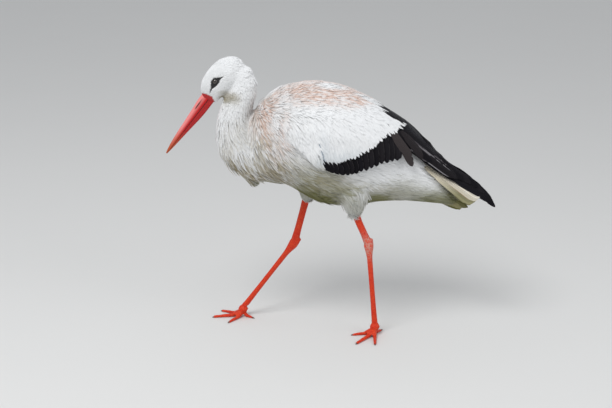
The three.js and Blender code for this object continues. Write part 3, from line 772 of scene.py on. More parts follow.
def limb(name, count, around, lengthen=(0.0, 0.0)):
    """A smooth loft round a long solid, and its middle line. It may run past the solid's ends."""
    points, triangles = cad_mesh([name])
    origin = points.mean(0)
    axis = np.linalg.svd(points - origin, full_matrices=False)[2][0]
    axis = axis * (-1 if axis[2] > 0.2 or axis[0] > 0.9 else 1)
    across = unit(np.cross(axis, [0, 0, 1]) if abs(axis[2]) < 0.5 else ACROSS - axis * axis[1])
    low, high = span(points, origin, axis)
    inset = (high - low) * 0.02
    distances = np.linspace(low + inset, high - inset, count)
    rows, up = sections(points, triangles, origin, axis, across, distances)
    rows = evened(rows)
    distances[0] -= inset + lengthen[0]
    distances[-1] += inset + lengthen[1]
    middle = (
        origin
        + distances[:, None] * axis
        + ((rows[:, 0] + rows[:, 1]) / 2)[:, None] * across
        + ((rows[:, 2] + rows[:, 3]) / 2)[:, None] * up
    )
    wide, high_half = (rows[:, 1] - rows[:, 0]) / 2, (rows[:, 3] - rows[:, 2]) / 2
    turn = np.linspace(0, 2 * math.pi, around, endpoint=False)
    rings = (
        middle[:, None]
        + (wide[:, None] * np.cos(turn))[..., None] * across
        + (high_half[:, None] * np.sin(turn))[..., None] * up
    )
    return tube(rings), middle, (wide + high_half) / 2


def ball(middle, radius, rows, around):
    """A sphere as (points, triangles)."""
    polar = np.linspace(0.04, math.pi - 0.04, rows)
    turn = np.linspace(0, 2 * math.pi, around, endpoint=False)
    rings = np.stack(
        [
            np.sin(polar)[:, None] * np.cos(turn),
            np.sin(polar)[:, None] * np.sin(turn),
            np.repeat(np.cos(polar)[:, None], around, 1),
        ],
        axis=-1,
    )
    return tube(middle + rings * radius)


# ---------------------------------------------------------------------------
# Skin
# ---------------------------------------------------------------------------


def body_skin(outline):
    """The body under its feathers: the outline drawn in by the coat's depth."""
    depth = BODY_COAT(outline.points)[:, 3] * MM * SKIN_SHARE
    thickness = outline.depth_below(0.06)
    depth = np.minimum(depth, thickness * 0.3)
    depth = np.where(bareness(outline.points, 3.0) > 0, 0.0012, depth)
    points, triangles = outline.points, outline.triangles
    steps = 4
    for _ in range(steps):
        points = points - vertex_normals(points, triangles) * (depth / steps)[:, None]
        points = relaxed(points, triangles, 2)
    return points, triangles


def gaze_of(side):
    """The way an eye looks."""
    return unit(np.array([-0.12, SIDES[side], 0.05]))


LID_PROFILE = [  # shares of the way from the eye's opening to the lid's rim, and heights in eye radii
    (0.0, 1.005), (0.02, 1.06), (0.10, 1.11), (0.28, 1.13), (0.55, 1.10),
    (0.8, 1.02), (1.0, 0.9), (1.0, 0.6), (0.5, 0.6), (0.02, 0.6),
]


def eyelids(side):
    """The ring of skin that closes on the eyeball, with an opening a little longer than high."""
    outward = gaze_of(side)
    along = unit(HEAD_AXIS - outward * (HEAD_AXIS @ outward))
    rise = np.cross(outward, along)
    turn = np.linspace(0, 2 * math.pi, 56, endpoint=False)
    opening = np.radians(46 + 7 * np.cos(2 * turn))
    middle, radius = eye_middle(side), eye_radius(side)
    rings = []
    for share, height in LID_PROFILE:
        polar = opening + share * (np.radians(88) - opening)
        spread = np.sin(polar)[:, None] * (np.cos(turn)[:, None] * along + np.sin(turn)[:, None] * rise)
        rings.append(middle + radius * height * (spread + np.cos(polar)[:, None] * outward))
    around = len(turn)
    points = np.concatenate(rings)
    numbers = np.arange(len(points)).reshape(-1, around)
    pairs = zip(numbers, np.roll(numbers, -1, axis=0))
    triangles = np.concatenate([half for ring, following in pairs for half in band(ring, following)])
    normals = face_normals(points, triangles)
    outwards = (normals[:around] * (points[triangles[:around]].mean(1) - middle)).sum()
    return points, triangles if outwards > 0 else triangles[:, ::-1]


def leg_skin(side):
    """One leg from above the ankle to the toes, with its middle lines for laying scales."""
    bodies, lines = [], []
    plan = [("shank", 26, (0.014, 0.004)), ("tarsus", 60, (0.003, 0.004))]
    plan += [(f"toe_{name}", 24, (0.003, 0.003)) for name in TOE_NAMES]
    for part, count, lengthen in plan:
        body, middle, radius = limb(f"{part}_{side}", count, 24, lengthen)
        bodies.append(body)
        lines.append((part, middle, radius))
    bodies.append(cad_mesh([f"foot_{side}"]))
    points, triangles = remeshed(*joined(*bodies), LEG_VOXEL, 5)
    points[:, 2] = np.maximum(points[:, 2], 0.0002)
    return points, triangles, lines


def scale_places(points, lines):
    """Where each point of a leg lies on its sheet of scales, in scales: along, around, and which part."""
    best = np.full(len(points), np.inf)
    places = np.zeros((len(points), 3))
    for number, (part, middle, radius) in enumerate(lines):
        size, stretch, level = (0.003, 0.35, [0.02, 0.0, 1.0]) if "toe" in part else (0.0036, 1.0, ACROSS)
        knots = np.arange(len(middle))
        steps = np.linspace(0, len(middle) - 1, 120)
        line = np.stack([np.interp(steps, knots, middle[:, k]) for k in range(3)], axis=1)
        girth = np.interp(steps, knots, radius)
        axis = unit(middle[-1] - middle[0])
        side = unit(np.cross(axis, level))
        gap = np.linalg.norm(points[:, None] - line[None], axis=2)
        nearest = gap.argmin(1)
        reach = gap.min(1) / girth[nearest]
        away = points - line[nearest]
        angle = np.arctan2(away @ side, away @ np.cross(axis, side))
        along = (points - middle[0]) @ axis
        around = angle * girth.mean() * stretch
        mine = reach < best
        best = np.where(mine, reach, best)
        found = np.stack([along / size, around / size, np.full(len(points), number * 9.0)], axis=1)
        places[mine] = found[mine]
    return places


# ---------------------------------------------------------------------------
# Small feathers
# ---------------------------------------------------------------------------


class Template:
    """One feather's shape: along 0 to 1, across -1 to 1, and up in shares of its thickness."""

    def __init__(self, blades):
        self.points, self.triangles = joined(*blades)


def blade(along, middle, half, up=0.0):
    """A pointed strip with a ridge: closed, three corners at each place along it, one at its end."""
    spots, faces = [], []
    for t, m, h in zip(along, middle, half):
        spots += [(t, m - h, up), (t, m + h, up), (t, m, up + 1)]
    for row in range(len(along) - 1):
        for k in range(3):
            a, b = row * 3 + k, row * 3 + (k + 1) % 3
            faces += [(a, a + 3, b + 3), (a, b + 3, b)]
    end = len(spots)
    last = (len(along) - 1) * 3
    spots.append((min(1.0, along[-1] + (along[-1] - along[-2]) * 0.8), middle[-1], up + 0.3))
    faces += [(last + k, end, last + (k + 1) % 3) for k in range(3)]
    faces.append((0, 1, 2))
    return np.array(spots, float), np.array(faces)


def tuft(locks, split, seed, steps):
    """A feather whose barbs gather in pointed locks, the middle ones longest."""
    draw = np.random.default_rng(seed)
    blades = []
    for number in range(locks):
        place = 0.0 if locks == 1 else 2 * number / (locks - 1) - 1
        reach = (1 - 0.22 * place**2) * draw.uniform(0.86, 0.96)
        along = np.linspace(0, reach, steps + 1)[:-1]
        open_share = np.clip((along / reach - split * 0.3) / (1 - split * 0.3), 0, 1)
        middle = place * (1 - 1 / locks) * (0.35 + 0.65 * open_share) + draw.uniform(-0.08, 0.08)
        wide = (1.55 / locks) * np.interp(along / reach, [0, 0.35, 0.7, 1], [0.75, 1.15, 1.0, 0.45])
        blades.append(blade(along, middle, wide, up=0.5 * (1 - abs(place)) + 0.12 * number))
    return Template(blades)


def lance(seed):
    """A broad feather that ends in a soft point, its width a little uneven."""
    draw = np.random.default_rng(seed)
    along = np.array([0.0, 0.2, 0.42, 0.64, 0.82, 0.93])
    half = np.array([0.5, 0.85, 1.0, 0.9, 0.6, 0.28]) * draw.uniform(0.92, 1.08, 6)
    return Template([blade(along, draw.uniform(-0.1, 0.1, 6), half)])


def plume(seed, steps):
    """A long narrow feather that tapers to a point, with one loose barb lock."""
    draw = np.random.default_rng(seed)
    along = np.linspace(0, 0.96, steps + 1)[:-1]
    bend = draw.uniform(-0.25, 0.25) * np.sin(along * math.pi)
    half = np.interp(along, [0, 0.3, 0.6, 0.85, 1], [0.55, 0.95, 0.9, 0.55, 0.2])
    side = draw.choice([-1, 1])
    loose = np.linspace(0.25, 0.8, 4)[:-1]
    barb = blade(loose, side * np.array([0.3, 0.75, 1.15]), np.array([0.35, 0.32, 0.18]), up=0.3)
    return Template([blade(along, bend, half), barb])


TRIES = 4.0  # places tried for each feather's worth of room
ELBOW_ROOM = 0.82  # how near two roots may come, as a share of the coat's spacing


def scattered(surface, faces, coat, seed, spacing):
    """Roots spread evenly over some triangles, as far apart as the coat's spacing says."""
    draw = np.random.default_rng(seed)
    corners = surface.points[surface.triangles[faces]]
    area = np.linalg.norm(face_normals(surface.points, surface.triangles[faces]), axis=1) / 2
    space = coat(corners.mean(1))[:, 4] * spacing * MM
    weight = area / space**2
    count = int(weight.sum() * TRIES)
    picked = draw.choice(len(faces), count, p=weight / weight.sum())
    first, second = draw.random(count), draw.random(count)
    flip = first + second > 1
    first, second = np.where(flip, 1 - first, first), np.where(flip, 1 - second, second)
    a, b, c = (corners[picked, k] for k in range(3))
    spots = a + (b - a) * first[:, None] + (c - a) * second[:, None]
    gaps = (space[picked] * ELBOW_ROOM).tolist()
    cell = float(space.max())
    grid, kept = {}, []
    for number, (x, y, z) in enumerate(spots.tolist()):
        i, j, k = int(x // cell), int(y // cell), int(z // cell)
        near = gaps[number] ** 2
        free = True
        for key in [(i + p, j + q, k + r) for p in (-1, 0, 1) for q in (-1, 0, 1) for r in (-1, 0, 1)]:
            for other_x, other_y, other_z in grid.get(key, ()):
                if (x - other_x) ** 2 + (y - other_y) ** 2 + (z - other_z) ** 2 < near:
                    free = False
                    break
            if not free:
                break
        if free:
            grid.setdefault((i, j, k), []).append((x, y, z))
            kept.append(number)
    return spots[kept], faces[picked[kept]]


SPINE = 6  # places along each small feather where it is fitted to the body


def laid(surface, coat, roots, faces, draw, wander):
    """Each feather's line over the body, its outward and sideways directions, and the coat's values there."""
    values = coat(roots)
    turn = np.radians(wander) * (draw.normal(size=len(roots)) + 1.2 * waves(roots, 0.022, 8))
    length = values[:, 1] * MM * draw.uniform(0.82, 1.12, len(roots))
    loose = values[:, 5] * MM * draw.uniform(0.0, 1.0, len(roots)) ** 1.5
    places, normals = roots, surface.normal_at(roots, faces)
    line, outward, sideways = [], [], []
    heading = None
    for step in range(SPINE):
        lie = np.radians(coat(places)[:, 0])
        wanted = np.stack([np.cos(lie), np.zeros(len(lie)), np.sin(lie)], axis=1)
        wanted = unit(wanted - normals * (wanted * normals).sum(1, keepdims=True))
        side = np.cross(normals, wanted)
        wanted = unit(wanted * np.cos(turn)[:, None] + side * np.sin(turn)[:, None])
        heading = wanted if heading is None else unit(wanted + heading)
        line.append(places)
        outward.append(normals)
        sideways.append(np.cross(normals, heading))
        if step < SPINE - 1:
            target = places + heading * (length / (SPINE - 1))[:, None]
            foot, foot_normal, _ = surface.nearest(target)
            height = ((target - foot) * foot_normal).sum(1)
            held = np.clip(height, 0, loose * (step + 1) / (SPINE - 1))
            places = foot + foot_normal * held[:, None]
            normals = unit(foot_normal + normals)
    return np.stack(line, 1), np.stack(outward, 1), np.stack(sideways, 1), values


def shortened(line, outward, sideways, bounds, draw, spare):
    """Feathers cut back to where they pass the edge of their own part by a random distance."""
    over = bounds(line.reshape(-1, 3)).reshape(line.shape[:2]) / MM
    allowed = draw.uniform(*spare, len(line))
    inside = np.maximum.accumulate(over > allowed[:, None], axis=1)
    reach = np.where(inside.any(1), np.maximum(inside.argmax(1) - 0.5, 0.0), SPINE - 1) / (SPINE - 1)
    at = np.linspace(0, 1, SPINE)[None] * np.maximum(reach, 0.3)[:, None] * (SPINE - 1)
    low = np.minimum(at.astype(int), SPINE - 2)
    share = (at - low)[..., None]
    rows = np.arange(len(line))[:, None]
    cut = [a[rows, low] * (1 - share) + a[rows, low + 1] * share for a in (line, outward, sideways)]
    return (*cut, reach >= 0.3)


def sunk(line, outward, depth):
    """Lets a feather's root down into the skin and leaves its tip on the coat's outside."""
    share = np.linspace(0, 1, SPINE)
    return line - outward * (depth[:, None] * (1 - share) ** 1.6)[..., None]


def grown(template, spine, outward, sideways, half_width, thickness, camber):
    """The template's points on every spine: (feathers, points, 3)."""
    along = template.points[:, 0] * (spine.shape[1] - 1)
    low = np.minimum(along.astype(int), spine.shape[1] - 2)
    share = (along - low)[None, :, None]
    middle = spine[:, low] * (1 - share) + spine[:, low + 1] * share
    up = outward[:, low] * (1 - share) + outward[:, low + 1] * share
    side = sideways[:, low] * (1 - share) + sideways[:, low + 1] * share
    across, rise = template.points[None, :, 1, None], template.points[None, :, 2, None]
    width = half_width[:, None, None]
    height = rise * thickness - camber * across**2 * width
    return middle + side * across * width + up * height


def coat_piece(name, surface, coat, faces, templates, seed, wander, thickness=0.5, camber=0.25,
               colour=plumage_colour, keep=None, spacing=1.0, bounds=None, spare=(2, 8)):
    """Scatters feathers over some triangles of a surface and joins them in one piece.

    `wander` turns them at random, in degrees. Those that pass `bounds` by more than a length between
    the two of `spare` are cut back, and `keep` picks the ones that stay.
    """
    draw = np.random.default_rng(seed)
    roots, root_faces = scattered(surface, faces, coat, seed, spacing)
    line, outward, sideways, values = laid(surface, coat, roots, root_faces, draw, wander)
    chosen = np.ones(len(roots), bool)
    if bounds is not None:
        line, outward, sideways, long_enough = shortened(line, outward, sideways, bounds, draw, spare)
        chosen &= long_enough
    spine = sunk(line, outward, values[:, 3] * MM * ROOT_SHARE)
    if keep is not None:
        chosen &= keep(spine)
    roots, spine, outward, sideways, values = (a[chosen] for a in (roots, spine, outward, sideways, values))
    chance = draw.random(len(roots))
    kinds = draw.integers(0, len(templates), len(roots))
    bake_places = UNWRAP.places(roots)
    half_width = values[:, 2] * MM * draw.uniform(0.85, 1.15, len(roots))
    tints = colour(roots, chance)
    root_shaded = shaded_root_colour(roots, tints)
    meshes, colours, uvs = [], [], []
    for kind, template in enumerate(templates):
        mine = kinds == kind
        if not mine.any():
            continue
        amount, size = int(mine.sum()), len(template.points)
        lines = (spine[mine], outward[mine], sideways[mine])
        spots = grown(template, *lines, half_width[mine], thickness * MM, camber)
        corners = template.triangles[None] + (np.arange(amount) * size)[:, None, None]
        meshes.append((spots.reshape(-1, 3), corners.reshape(-1, 3)))
        # Painted shade: each feather darkens from its tip colour towards its root
        along = np.clip(template.points[:, 0] * 1.25, 0, 1)[None, :, None]
        colours.append((root_shaded[mine][:, None] * (1 - along) + tints[mine][:, None] * along).reshape(-1, 3))
        patch = (template.points[:, [0, 1]] - [0.5, 0.0]) * [BAKE_PATCH, BAKE_PATCH / 2]
        uvs.append((bake_places[mine][:, None] + patch[None]).reshape(-1, 2))
    points, triangles = joined(*meshes)
    points[:, 2] = np.maximum(points[:, 2], 0.001)
    print(f"{name}: {len(roots)} feathers, {len(triangles)} triangles")
    return piece(name, points, triangles, MATERIALS["coat"],
                 {"tint": np.concatenate(colours)}, np.concatenate(uvs), crease=45)


class Unwrap:
    """A flat map of the skin's own shape, for placing each feather's patch of the bake."""

    def __init__(self, points, triangles):
        rough = remeshed(points, triangles, 0.009, 2)
        self.surface = Surface(*rough)
        thing = linked("unwrap", plain_mesh("unwrap", *rough))
        bpy.context.view_layer.objects.active = thing
        thing.select_set(True)
        thing.data.uv_layers.new(name="flat")
        bpy.ops.object.mode_set(mode="EDIT")
        bpy.ops.mesh.select_all(action="SELECT")
        bpy.ops.uv.smart_project(angle_limit=math.radians(66), island_margin=0.004)
        bpy.ops.object.mode_set(mode="OBJECT")
        flat = np.empty(len(thing.data.loops) * 2)
        thing.data.uv_layers["flat"].uv.foreach_get("vector", flat)
        self.flat = flat.reshape(-1, 3, 2)
        discard(thing)

    def places(self, points):
        spots, _, faces = self.surface.nearest(points)
        return (self.flat[faces] * self.surface.shares(spots, faces)[:, :, None]).sum(1)


# ---------------------------------------------------------------------------
# Large feathers
# ---------------------------------------------------------------------------

VANE_ROWS, VANE_COLUMNS = 24, 9
VANE_PLACES = 1 - (1 - np.linspace(0, 1, VANE_ROWS)) ** 1.5  # closer together towards the end
VANE_THICKNESS, VANE_CAMBER, VANE_NOTCHES = 0.0005, 0.16, 3
BARB_LENGTH = 0.03  # the width that counts as 1 across, where barbs are drawn
BAKE_HALF = 0.014  # half the width of a feather's cell in the bake


def vane_grid(draw, roundness):
    """A large feather's places across, for each row: a narrow base, a full middle and a shaped end."""
    along = VANE_PLACES
    half = np.interp(along, [0, 0.12, 0.35, 0.8], [0.35, 0.75, 1.0, 1.0])
    end = np.clip((along - roundness) / (1 - roundness), 0, 1)
    half = half * np.sqrt(np.clip(1 - end**2.2, 0.0025, 1))
    across = np.linspace(-1, 1, VANE_COLUMNS)
    grid = half[:, None] * across
    for _ in range(VANE_NOTCHES):
        row, side = draw.integers(3, VANE_ROWS - 2), draw.choice([0, -1])
        grid[row, side] *= draw.uniform(0.72, 0.9)
    return grid


def large_feather(draw, spine, outward, sideways, half_width, roundness):
    """A closed vane with a raised shaft, on a smooth spine of VANE_ROWS places."""
    along, grid = VANE_PLACES, vane_grid(draw, roundness)
    shaft = np.exp(-((grid / 0.10) ** 2)) * 0.0006 * (1 - 0.8 * along[:, None])
    dip = VANE_CAMBER * grid**2 * half_width
    top = (
        spine[:, None]
        + sideways[:, None] * (grid * half_width)[..., None]
        + outward[:, None] * (shaft - dip + VANE_THICKNESS / 2)[..., None]
    )
    under = top - outward[:, None] * (shaft + VANE_THICKNESS)[..., None]
    rings = np.concatenate([top, under[:, ::-1]], axis=1)
    points, triangles = tube(rings)
    flat_along = np.concatenate([np.repeat(along[:, None], 2 * VANE_COLUMNS, 1).ravel(), [0, 1]])
    flat_across = np.concatenate([np.concatenate([grid, grid[:, ::-1]], 1).ravel(), [0, 0]])
    return points, triangles, flat_along, flat_across


def spine_frame(points, outward):
    """Sideways directions square to a spine, and outward ones square to both."""
    heading = unit(np.gradient(points, axis=0))
    sideways = unit(np.cross(outward, heading))
    return np.cross(heading, sideways), sideways


def resampled(points):
    """The places of a large feather's rows on a smooth line through a few."""
    knots = np.arange(len(points))
    at = VANE_PLACES * (len(points) - 1)
    smooth = np.stack([np.interp(at, knots, points[:, k]) for k in range(points.shape[1])], axis=1)
    for _ in range(2):
        smooth[1:-1] = (smooth[:-2] + 2 * smooth[1:-1] + smooth[2:]) / 4
    return smooth


class Quills:
    """Collects large feathers and makes one piece of them, each with its own cell of the bake."""

    def __init__(self, name, slot, material, replaces):
        self.name, self.slot, self.material, self.nodes = name, slot, material, replaces
        self.meshes, self.tints, self.vanes = [], [], []
        self.draw = np.random.default_rng(len(name) * 31 + 5)

    def add(self, laid, half_width, colour, edge=None, root=None, tilt=0.0, roundness=0.7):
        """One feather on a spine with its outward directions, `laid`.

        `edge` and `root` colour its rim and base, and `tilt` turns it on its shaft, in degrees.
        """
        spine, outward = laid
        up, side = spine_frame(spine, outward)
        turn, lean = math.cos(math.radians(tilt)), math.sin(math.radians(tilt))
        up, side = up * turn - side * lean, side * turn + up * lean
        points, triangles, along, across = large_feather(self.draw, spine, up, side, half_width, roundness)
        chance = self.draw.random()
        tint = np.repeat((np.asarray(colour) * (0.8 + 0.5 * chance))[None], len(points), 0)
        if edge is not None:
            rim = np.clip((np.abs(across) - 0.80) / 0.15, 0, 1) * np.clip(along * 3, 0, 1)
            tint = mixed(tint, np.asarray(edge), rim)
        if root is not None:
            tint = mixed(tint, root, np.interp(along, [0.35, 0.75], [1, 0]))
        self.meshes.append((points, triangles))
        self.tints.append(tint)
        across = across * half_width / BARB_LENGTH
        self.vanes.append(np.stack([along, across, np.full(len(points), chance)], axis=1))

    def made(self):
        points, triangles = joined(*self.meshes)
        columns = math.ceil(math.sqrt(len(self.meshes) * 0.35))
        rows = math.ceil(len(self.meshes) / columns)
        cells = []
        for number, vane in enumerate(self.vanes):
            corner = np.array([number % columns / columns, number // columns / rows])
            across = np.clip(vane[:, 1] * BARB_LENGTH / BAKE_HALF, -1, 1)
            spot = np.stack([0.5 + 0.46 * across, 0.03 + 0.94 * vane[:, 0]], axis=1)
            cells.append(corner + spot / [columns, rows])
        made = piece(self.name, points, triangles, self.material,
                     {"tint": np.concatenate(self.tints), "vane": np.concatenate(self.vanes)},
                     np.concatenate(cells), crease=38)
        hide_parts(*self.nodes)
        print(f"{self.name}: {len(self.meshes)} feathers, {len(triangles)} triangles")
        return made


class Relief:
    """A smooth height field of some solids, seen from one side of the bird or from above."""

    def __init__(self, names, view, blur=5):
        self.view = view
        solid = Surface(*cad_mesh(names))
        across, rise, direction = view
        steps = [np.arange(solid.points[:, k].min() - 0.03, solid.points[:, k].max() + 0.03, RELIEF_STEP)
                 for k in (across, rise)]
        self.start = np.array([step[0] for step in steps])
        self.shape = tuple(len(step) for step in steps)
        depth_axis = 3 - across - rise
        way = np.zeros(3)
        way[depth_axis] = -direction
        heights = np.full(self.shape, np.nan)
        for i, j in np.ndindex(self.shape):
            start = np.zeros(3)
            start[across], start[rise], start[depth_axis] = steps[0][i], steps[1][j], direction * 1.0
            hit = solid.tree.ray_cast(Vector(start), Vector(way))[0]
            if hit is not None:
                heights[i, j] = hit[depth_axis]
        self.heights = spread_out(heights, blur)

    def at(self, places):
        """Heights at (n, 2) places in metres."""
        spot = np.clip((places - self.start) / RELIEF_STEP, 0, np.array(self.shape) - 1.001)
        low = spot.astype(int)
        (a, b), (i, j) = (spot - low).T, low.T
        h = self.heights
        near = h[i, j] * (1 - a) + h[i + 1, j] * a
        far = h[i, j + 1] * (1 - a) + h[i + 1, j + 1] * a
        return near * (1 - b) + far * b

    def laid(self, places, level):
        """Places in millimetres laid on the relief, with outward normals, `level` over it at each end."""
        across, rise, direction = self.view
        line = resampled(np.array(places, float)) * MM
        depth_axis = 3 - across - rise
        normals = np.zeros((len(line), 3))
        normals[:, depth_axis] = direction
        for axis, offset in ((across, (RELIEF_STEP, 0)), (rise, (0, RELIEF_STEP))):
            slope = (self.at(line + offset) - self.at(line - np.array(offset))) / (2 * RELIEF_STEP)
            normals[:, axis] = -slope * direction
        normals = unit(normals)
        points = np.zeros((len(line), 3))
        points[:, across], points[:, rise], points[:, depth_axis] = line[:, 0], line[:, 1], self.at(line)
        height = (level[0] + (level[1] - level[0]) * VANE_PLACES) * MM
        return points + normals * height[:, None], normals


def spread_out(heights, blur):
    """Fills a grid's unknown values from their neighbours and smooths it all."""
    known = ~np.isnan(heights)
    filled = np.where(known, heights, 0.0)
    weight = known.astype(float)
    while (weight == 0).any():
        total, count = neighbours(filled * weight), neighbours(weight)
        new = (weight == 0) & (count > 0)
        filled[new] = total[new] / count[new]
        weight[new] = 1.0
    for _ in range(blur):
        filled = neighbours(filled) / neighbours(np.ones_like(filled))
    return filled


def neighbours(grid):
    """Each cell's sum with the eight round it."""
    wide = np.pad(grid, 1)
    rows, columns = grid.shape
    return sum(wide[i:i + rows, j:j + columns] for i in range(3) for j in range(3))


def along_line(places, share):
    """The place at a share of the way along a row of places."""
    places = np.array(places, float)
    at = share * (len(places) - 1)
    return np.array([np.interp(at, np.arange(len(places)), places[:, k]) for k in range(places.shape[1])])


# Half widths of the large feathers, in metres
HALF_WIDTHS = {
    "secondary": 0.0098, "front": 0.0088, "primary": 0.0088, "tertial": 0.0105, "back": 0.0110,
    "hanging": 0.0108, "tail": 0.0120, "under_tail": 0.0085,
}
# Side-view lines on the folded wing, in millimetres
PANEL_ROOTS = [(-78, 492), (-48, 500), (-10, 508), (28, 522), (70, 545), (108, 566), (128, 572)]
PANEL_TIPS = [(-12, 448), (3, 439), (34, 434), (61, 438), (92, 451), (125, 460), (158, 466)]
PANEL_FRONT = [  # roots and tips of the foremost black feathers, which come out over the white ones
    [(-50, 482), (-32, 486), (-14, 491), (4, 497)],
    [(-6, 447), (4, 441), (18, 437), (36, 435)],
]
HANGING_FEATHERS = [  # lines, heights over the wing at each end, and how brown
    ([(146, 556), (172, 520), (198, 487), (212, 462)], (-3.0, 0.6), 0.3),
    ([(124, 554), (150, 514), (174, 480), (187, 447)], (-1.0, 2.6), 0.8),
]
SHADOW_SLITS = [  # narrow blue-grey feathers that stand for the shadowed gap between the groups of coverts: line, heights and half width
    ([(-42, 552), (-37, 528), (-29, 500), (-19, 468)], (-2.4, 1.1), 1.3),
]
PRIMARY_LOWEST = [(150, 514), (196, 483), (243, 445), (296, 406), (345, 372), (378, 350), (399, 327)]
PRIMARY_HIGHEST = [(176, 545), (206, 516), (232, 486), (256, 456), (276, 434), (290, 418), (301, 404)]
PRIMARY_TIPS = [
    (398, 326), (393, 337), (384, 350), (371, 363), (355, 376), (337, 387), (318, 396), (301, 402),
]
TERTIAL_ROOTS = [(146, 524), (146, 540), (136, 556), (112, 574)]
TERTIAL_TIPS = [(236, 452), (262, 437), (281, 423), (291, 412), (297, 403)]


def browned(share):
    """Black with a share of brown."""
    return mixed(BLACK[None], BROWN, [share])[0]


def wing_quills(side):
    """The black feathers of one folded wing, from the innermost layer outwards."""
    nodes = [f"{part}_{side}" for part in ("secondaries", "tertials", "primaries")]
    sign = SIDES[side]
    outer = Relief([f"coverts_{side}", *nodes], (0, 2, sign))
    upper = Relief([f"coverts_{side}", *nodes], (0, 1, 1))
    wing = Quills(f"wing_feathers_{side}", "flight_feathers", MATERIALS["black"], nodes)
    secondaries_of(wing, outer, sign)
    primaries_of(wing, outer, sign)
    tertials_of(wing, outer, upper, sign)
    # thin blue-grey feathers that stand for the shadow in the gap between groups of coverts
    for line, level, half in SHADOW_SLITS:
        wing.add(outer.laid(line, level), half * MM, SLIT_SHADOW_GREY, tilt=30 * sign, roundness=0.3)
    for line, level, share in HANGING_FEATHERS:
        laid = outer.laid(line, level)
        wing.add(laid, HALF_WIDTHS["hanging"], browned(share), tilt=-4 * sign, roundness=0.66)
    return wing.made()


def secondaries_of(wing, outer, sign):
    """The black panel along the wing's lower edge: two layers of feathers, and a few in front of them."""
    count = 17
    for layer, (level, spread) in enumerate([(-6.5, 0.05), (-2.6, 0.0)]):
        for number in range(count):
            share = min(1.0, (number + 0.5 * layer) / (count - 1))
            root, tip = along_line(PANEL_ROOTS, share), along_line(PANEL_TIPS, share)
            tip = tip + (tip - root) * (wing.draw.uniform(-0.03, 0.03) - spread)
            bend = (root + tip) / 2 + np.array([4.0, 3.0])
            laid = outer.laid([root, bend, tip], (level - 7, level + 2.0 * layer))
            colour = browned(wing.draw.uniform(0, 0.12))
            wing.add(laid, HALF_WIDTHS["secondary"], colour, PANEL_HIGHLIGHT_RIM, tilt=-17 * sign, roundness=0.74)
    for share in np.arange(5) / 4:
        root, tip = (along_line(line, share) for line in PANEL_FRONT)
        laid = outer.laid([root, (root + tip) / 2 + np.array([3.0, 0.0]), tip], (-4.5, 3.0))
        wing.add(laid, HALF_WIDTHS["front"], BLACK, PANEL_HIGHLIGHT_RIM, tilt=-12 * sign)


def primaries_of(wing, outer, sign):
    """The long primaries, whose tips step back from the wing's point."""
    for number, tip in enumerate(PRIMARY_TIPS):
        share = number / (len(PRIMARY_TIPS) - 1)
        path = np.array(PRIMARY_LOWEST, float) * (1 - share) + np.array(PRIMARY_HIGHEST, float) * share
        path = path + (np.array(tip) - path[-1]) * (np.linspace(0, 1, len(path)) ** 2)[:, None]
        laid = outer.laid(path, (-9, -1.5 + 1.5 * share))
        colour = browned(0.08 * (number % 2))
        wing.add(laid, HALF_WIDTHS["primary"], colour, PRIMARY_HIGHLIGHT_RIM, tilt=-7 * sign)


def tertials_of(wing, outer, upper, sign):
    """The broad tertials over the rump, with thin pale rims, and those that lie along the back."""
    for number in range(8):
        share = number / 7
        root, tip = along_line(TERTIAL_ROOTS, share), along_line(TERTIAL_TIPS, share)
        bend = (root + tip) / 2 + np.array([3.0, 2.0]) * (1 - 2.6 * share)
        laid = outer.laid([root, bend, tip], (-6, 0.2 + 1.4 * share))
        colour = browned(0.12 * (number % 2))
        rim = TERTIAL_RIMS[number % 3]
        wing.add(laid, HALF_WIDTHS["tertial"], colour, rim, tilt=-9 * sign, roundness=0.8)
    for number in range(-1, 5):
        share = number / 4
        out = sign * (50 - 38 * share)
        line = [(84 + 4 * number, out), (150, out * 0.86), (205 + 18 * share, out * 0.66),
                (252 + 28 * share, out * 0.5)]
        laid = upper.laid(line, (-3.5, 0.4 + 0.8 * share))
        wing.add(laid, HALF_WIDTHS["back"], BLACK, BACK_SHEEN_RIM, tilt=-6 * sign)


TAIL_PAIRS = 8
FAN_LINES = [  # side-view lines of the long feathers under the tail, from the tail's edge down
    [(222, 388), (262, 366), (302, 350), (340, 336)],
    [(220, 370), (256, 352), (292, 340), (327, 325)],
    [(218, 352), (250, 341), (282, 331), (313, 317)],
]


def tail_quills():
    """Cream-white tail feathers in an arched fan, with long olive feathers under it, their olive partly dirt
    and partly painted shade and green light.
    """
    tail = Quills("tail_feathers", "tail_feathers", MATERIALS["tail"], ["tail"])
    tail_fan(tail)
    for sign in SIDES.values():
        flank = Relief(["tail_coverts"], (0, 2, sign))
        for layer, count in enumerate((5, 4)):
            for number in range(count):
                share = (number + 0.5 * layer) / (count - 0.5)
                upper, lower = FAN_LINES[:2] if share < 0.5 else FAN_LINES[1:]
                line = np.array(upper) + (np.array(lower) - upper) * (share % 0.5 * 2)
                longer = tail.draw.uniform(-0.12, 0.03) * np.linspace(0, 1, 4)
                line = line + (line[-1] - line[0]) * longer[:, None]
                laid = flank.laid(line, (-4.0, 1.0 + 2.0 * layer))
                shade = mixed(OLIVE_DIRT_AND_SHADE[None], CREAM, [tail.draw.uniform(0.0, 0.2)])[0]
                rim, root = OLIVE_DIRT_AND_SHADE * 0.7, (WHITE + OLIVE_DIRT_AND_SHADE) / 2
                tail.add(laid, HALF_WIDTHS["under_tail"], shade, rim, root, tilt=-6 * sign, roundness=0.6)
    return tail.made()


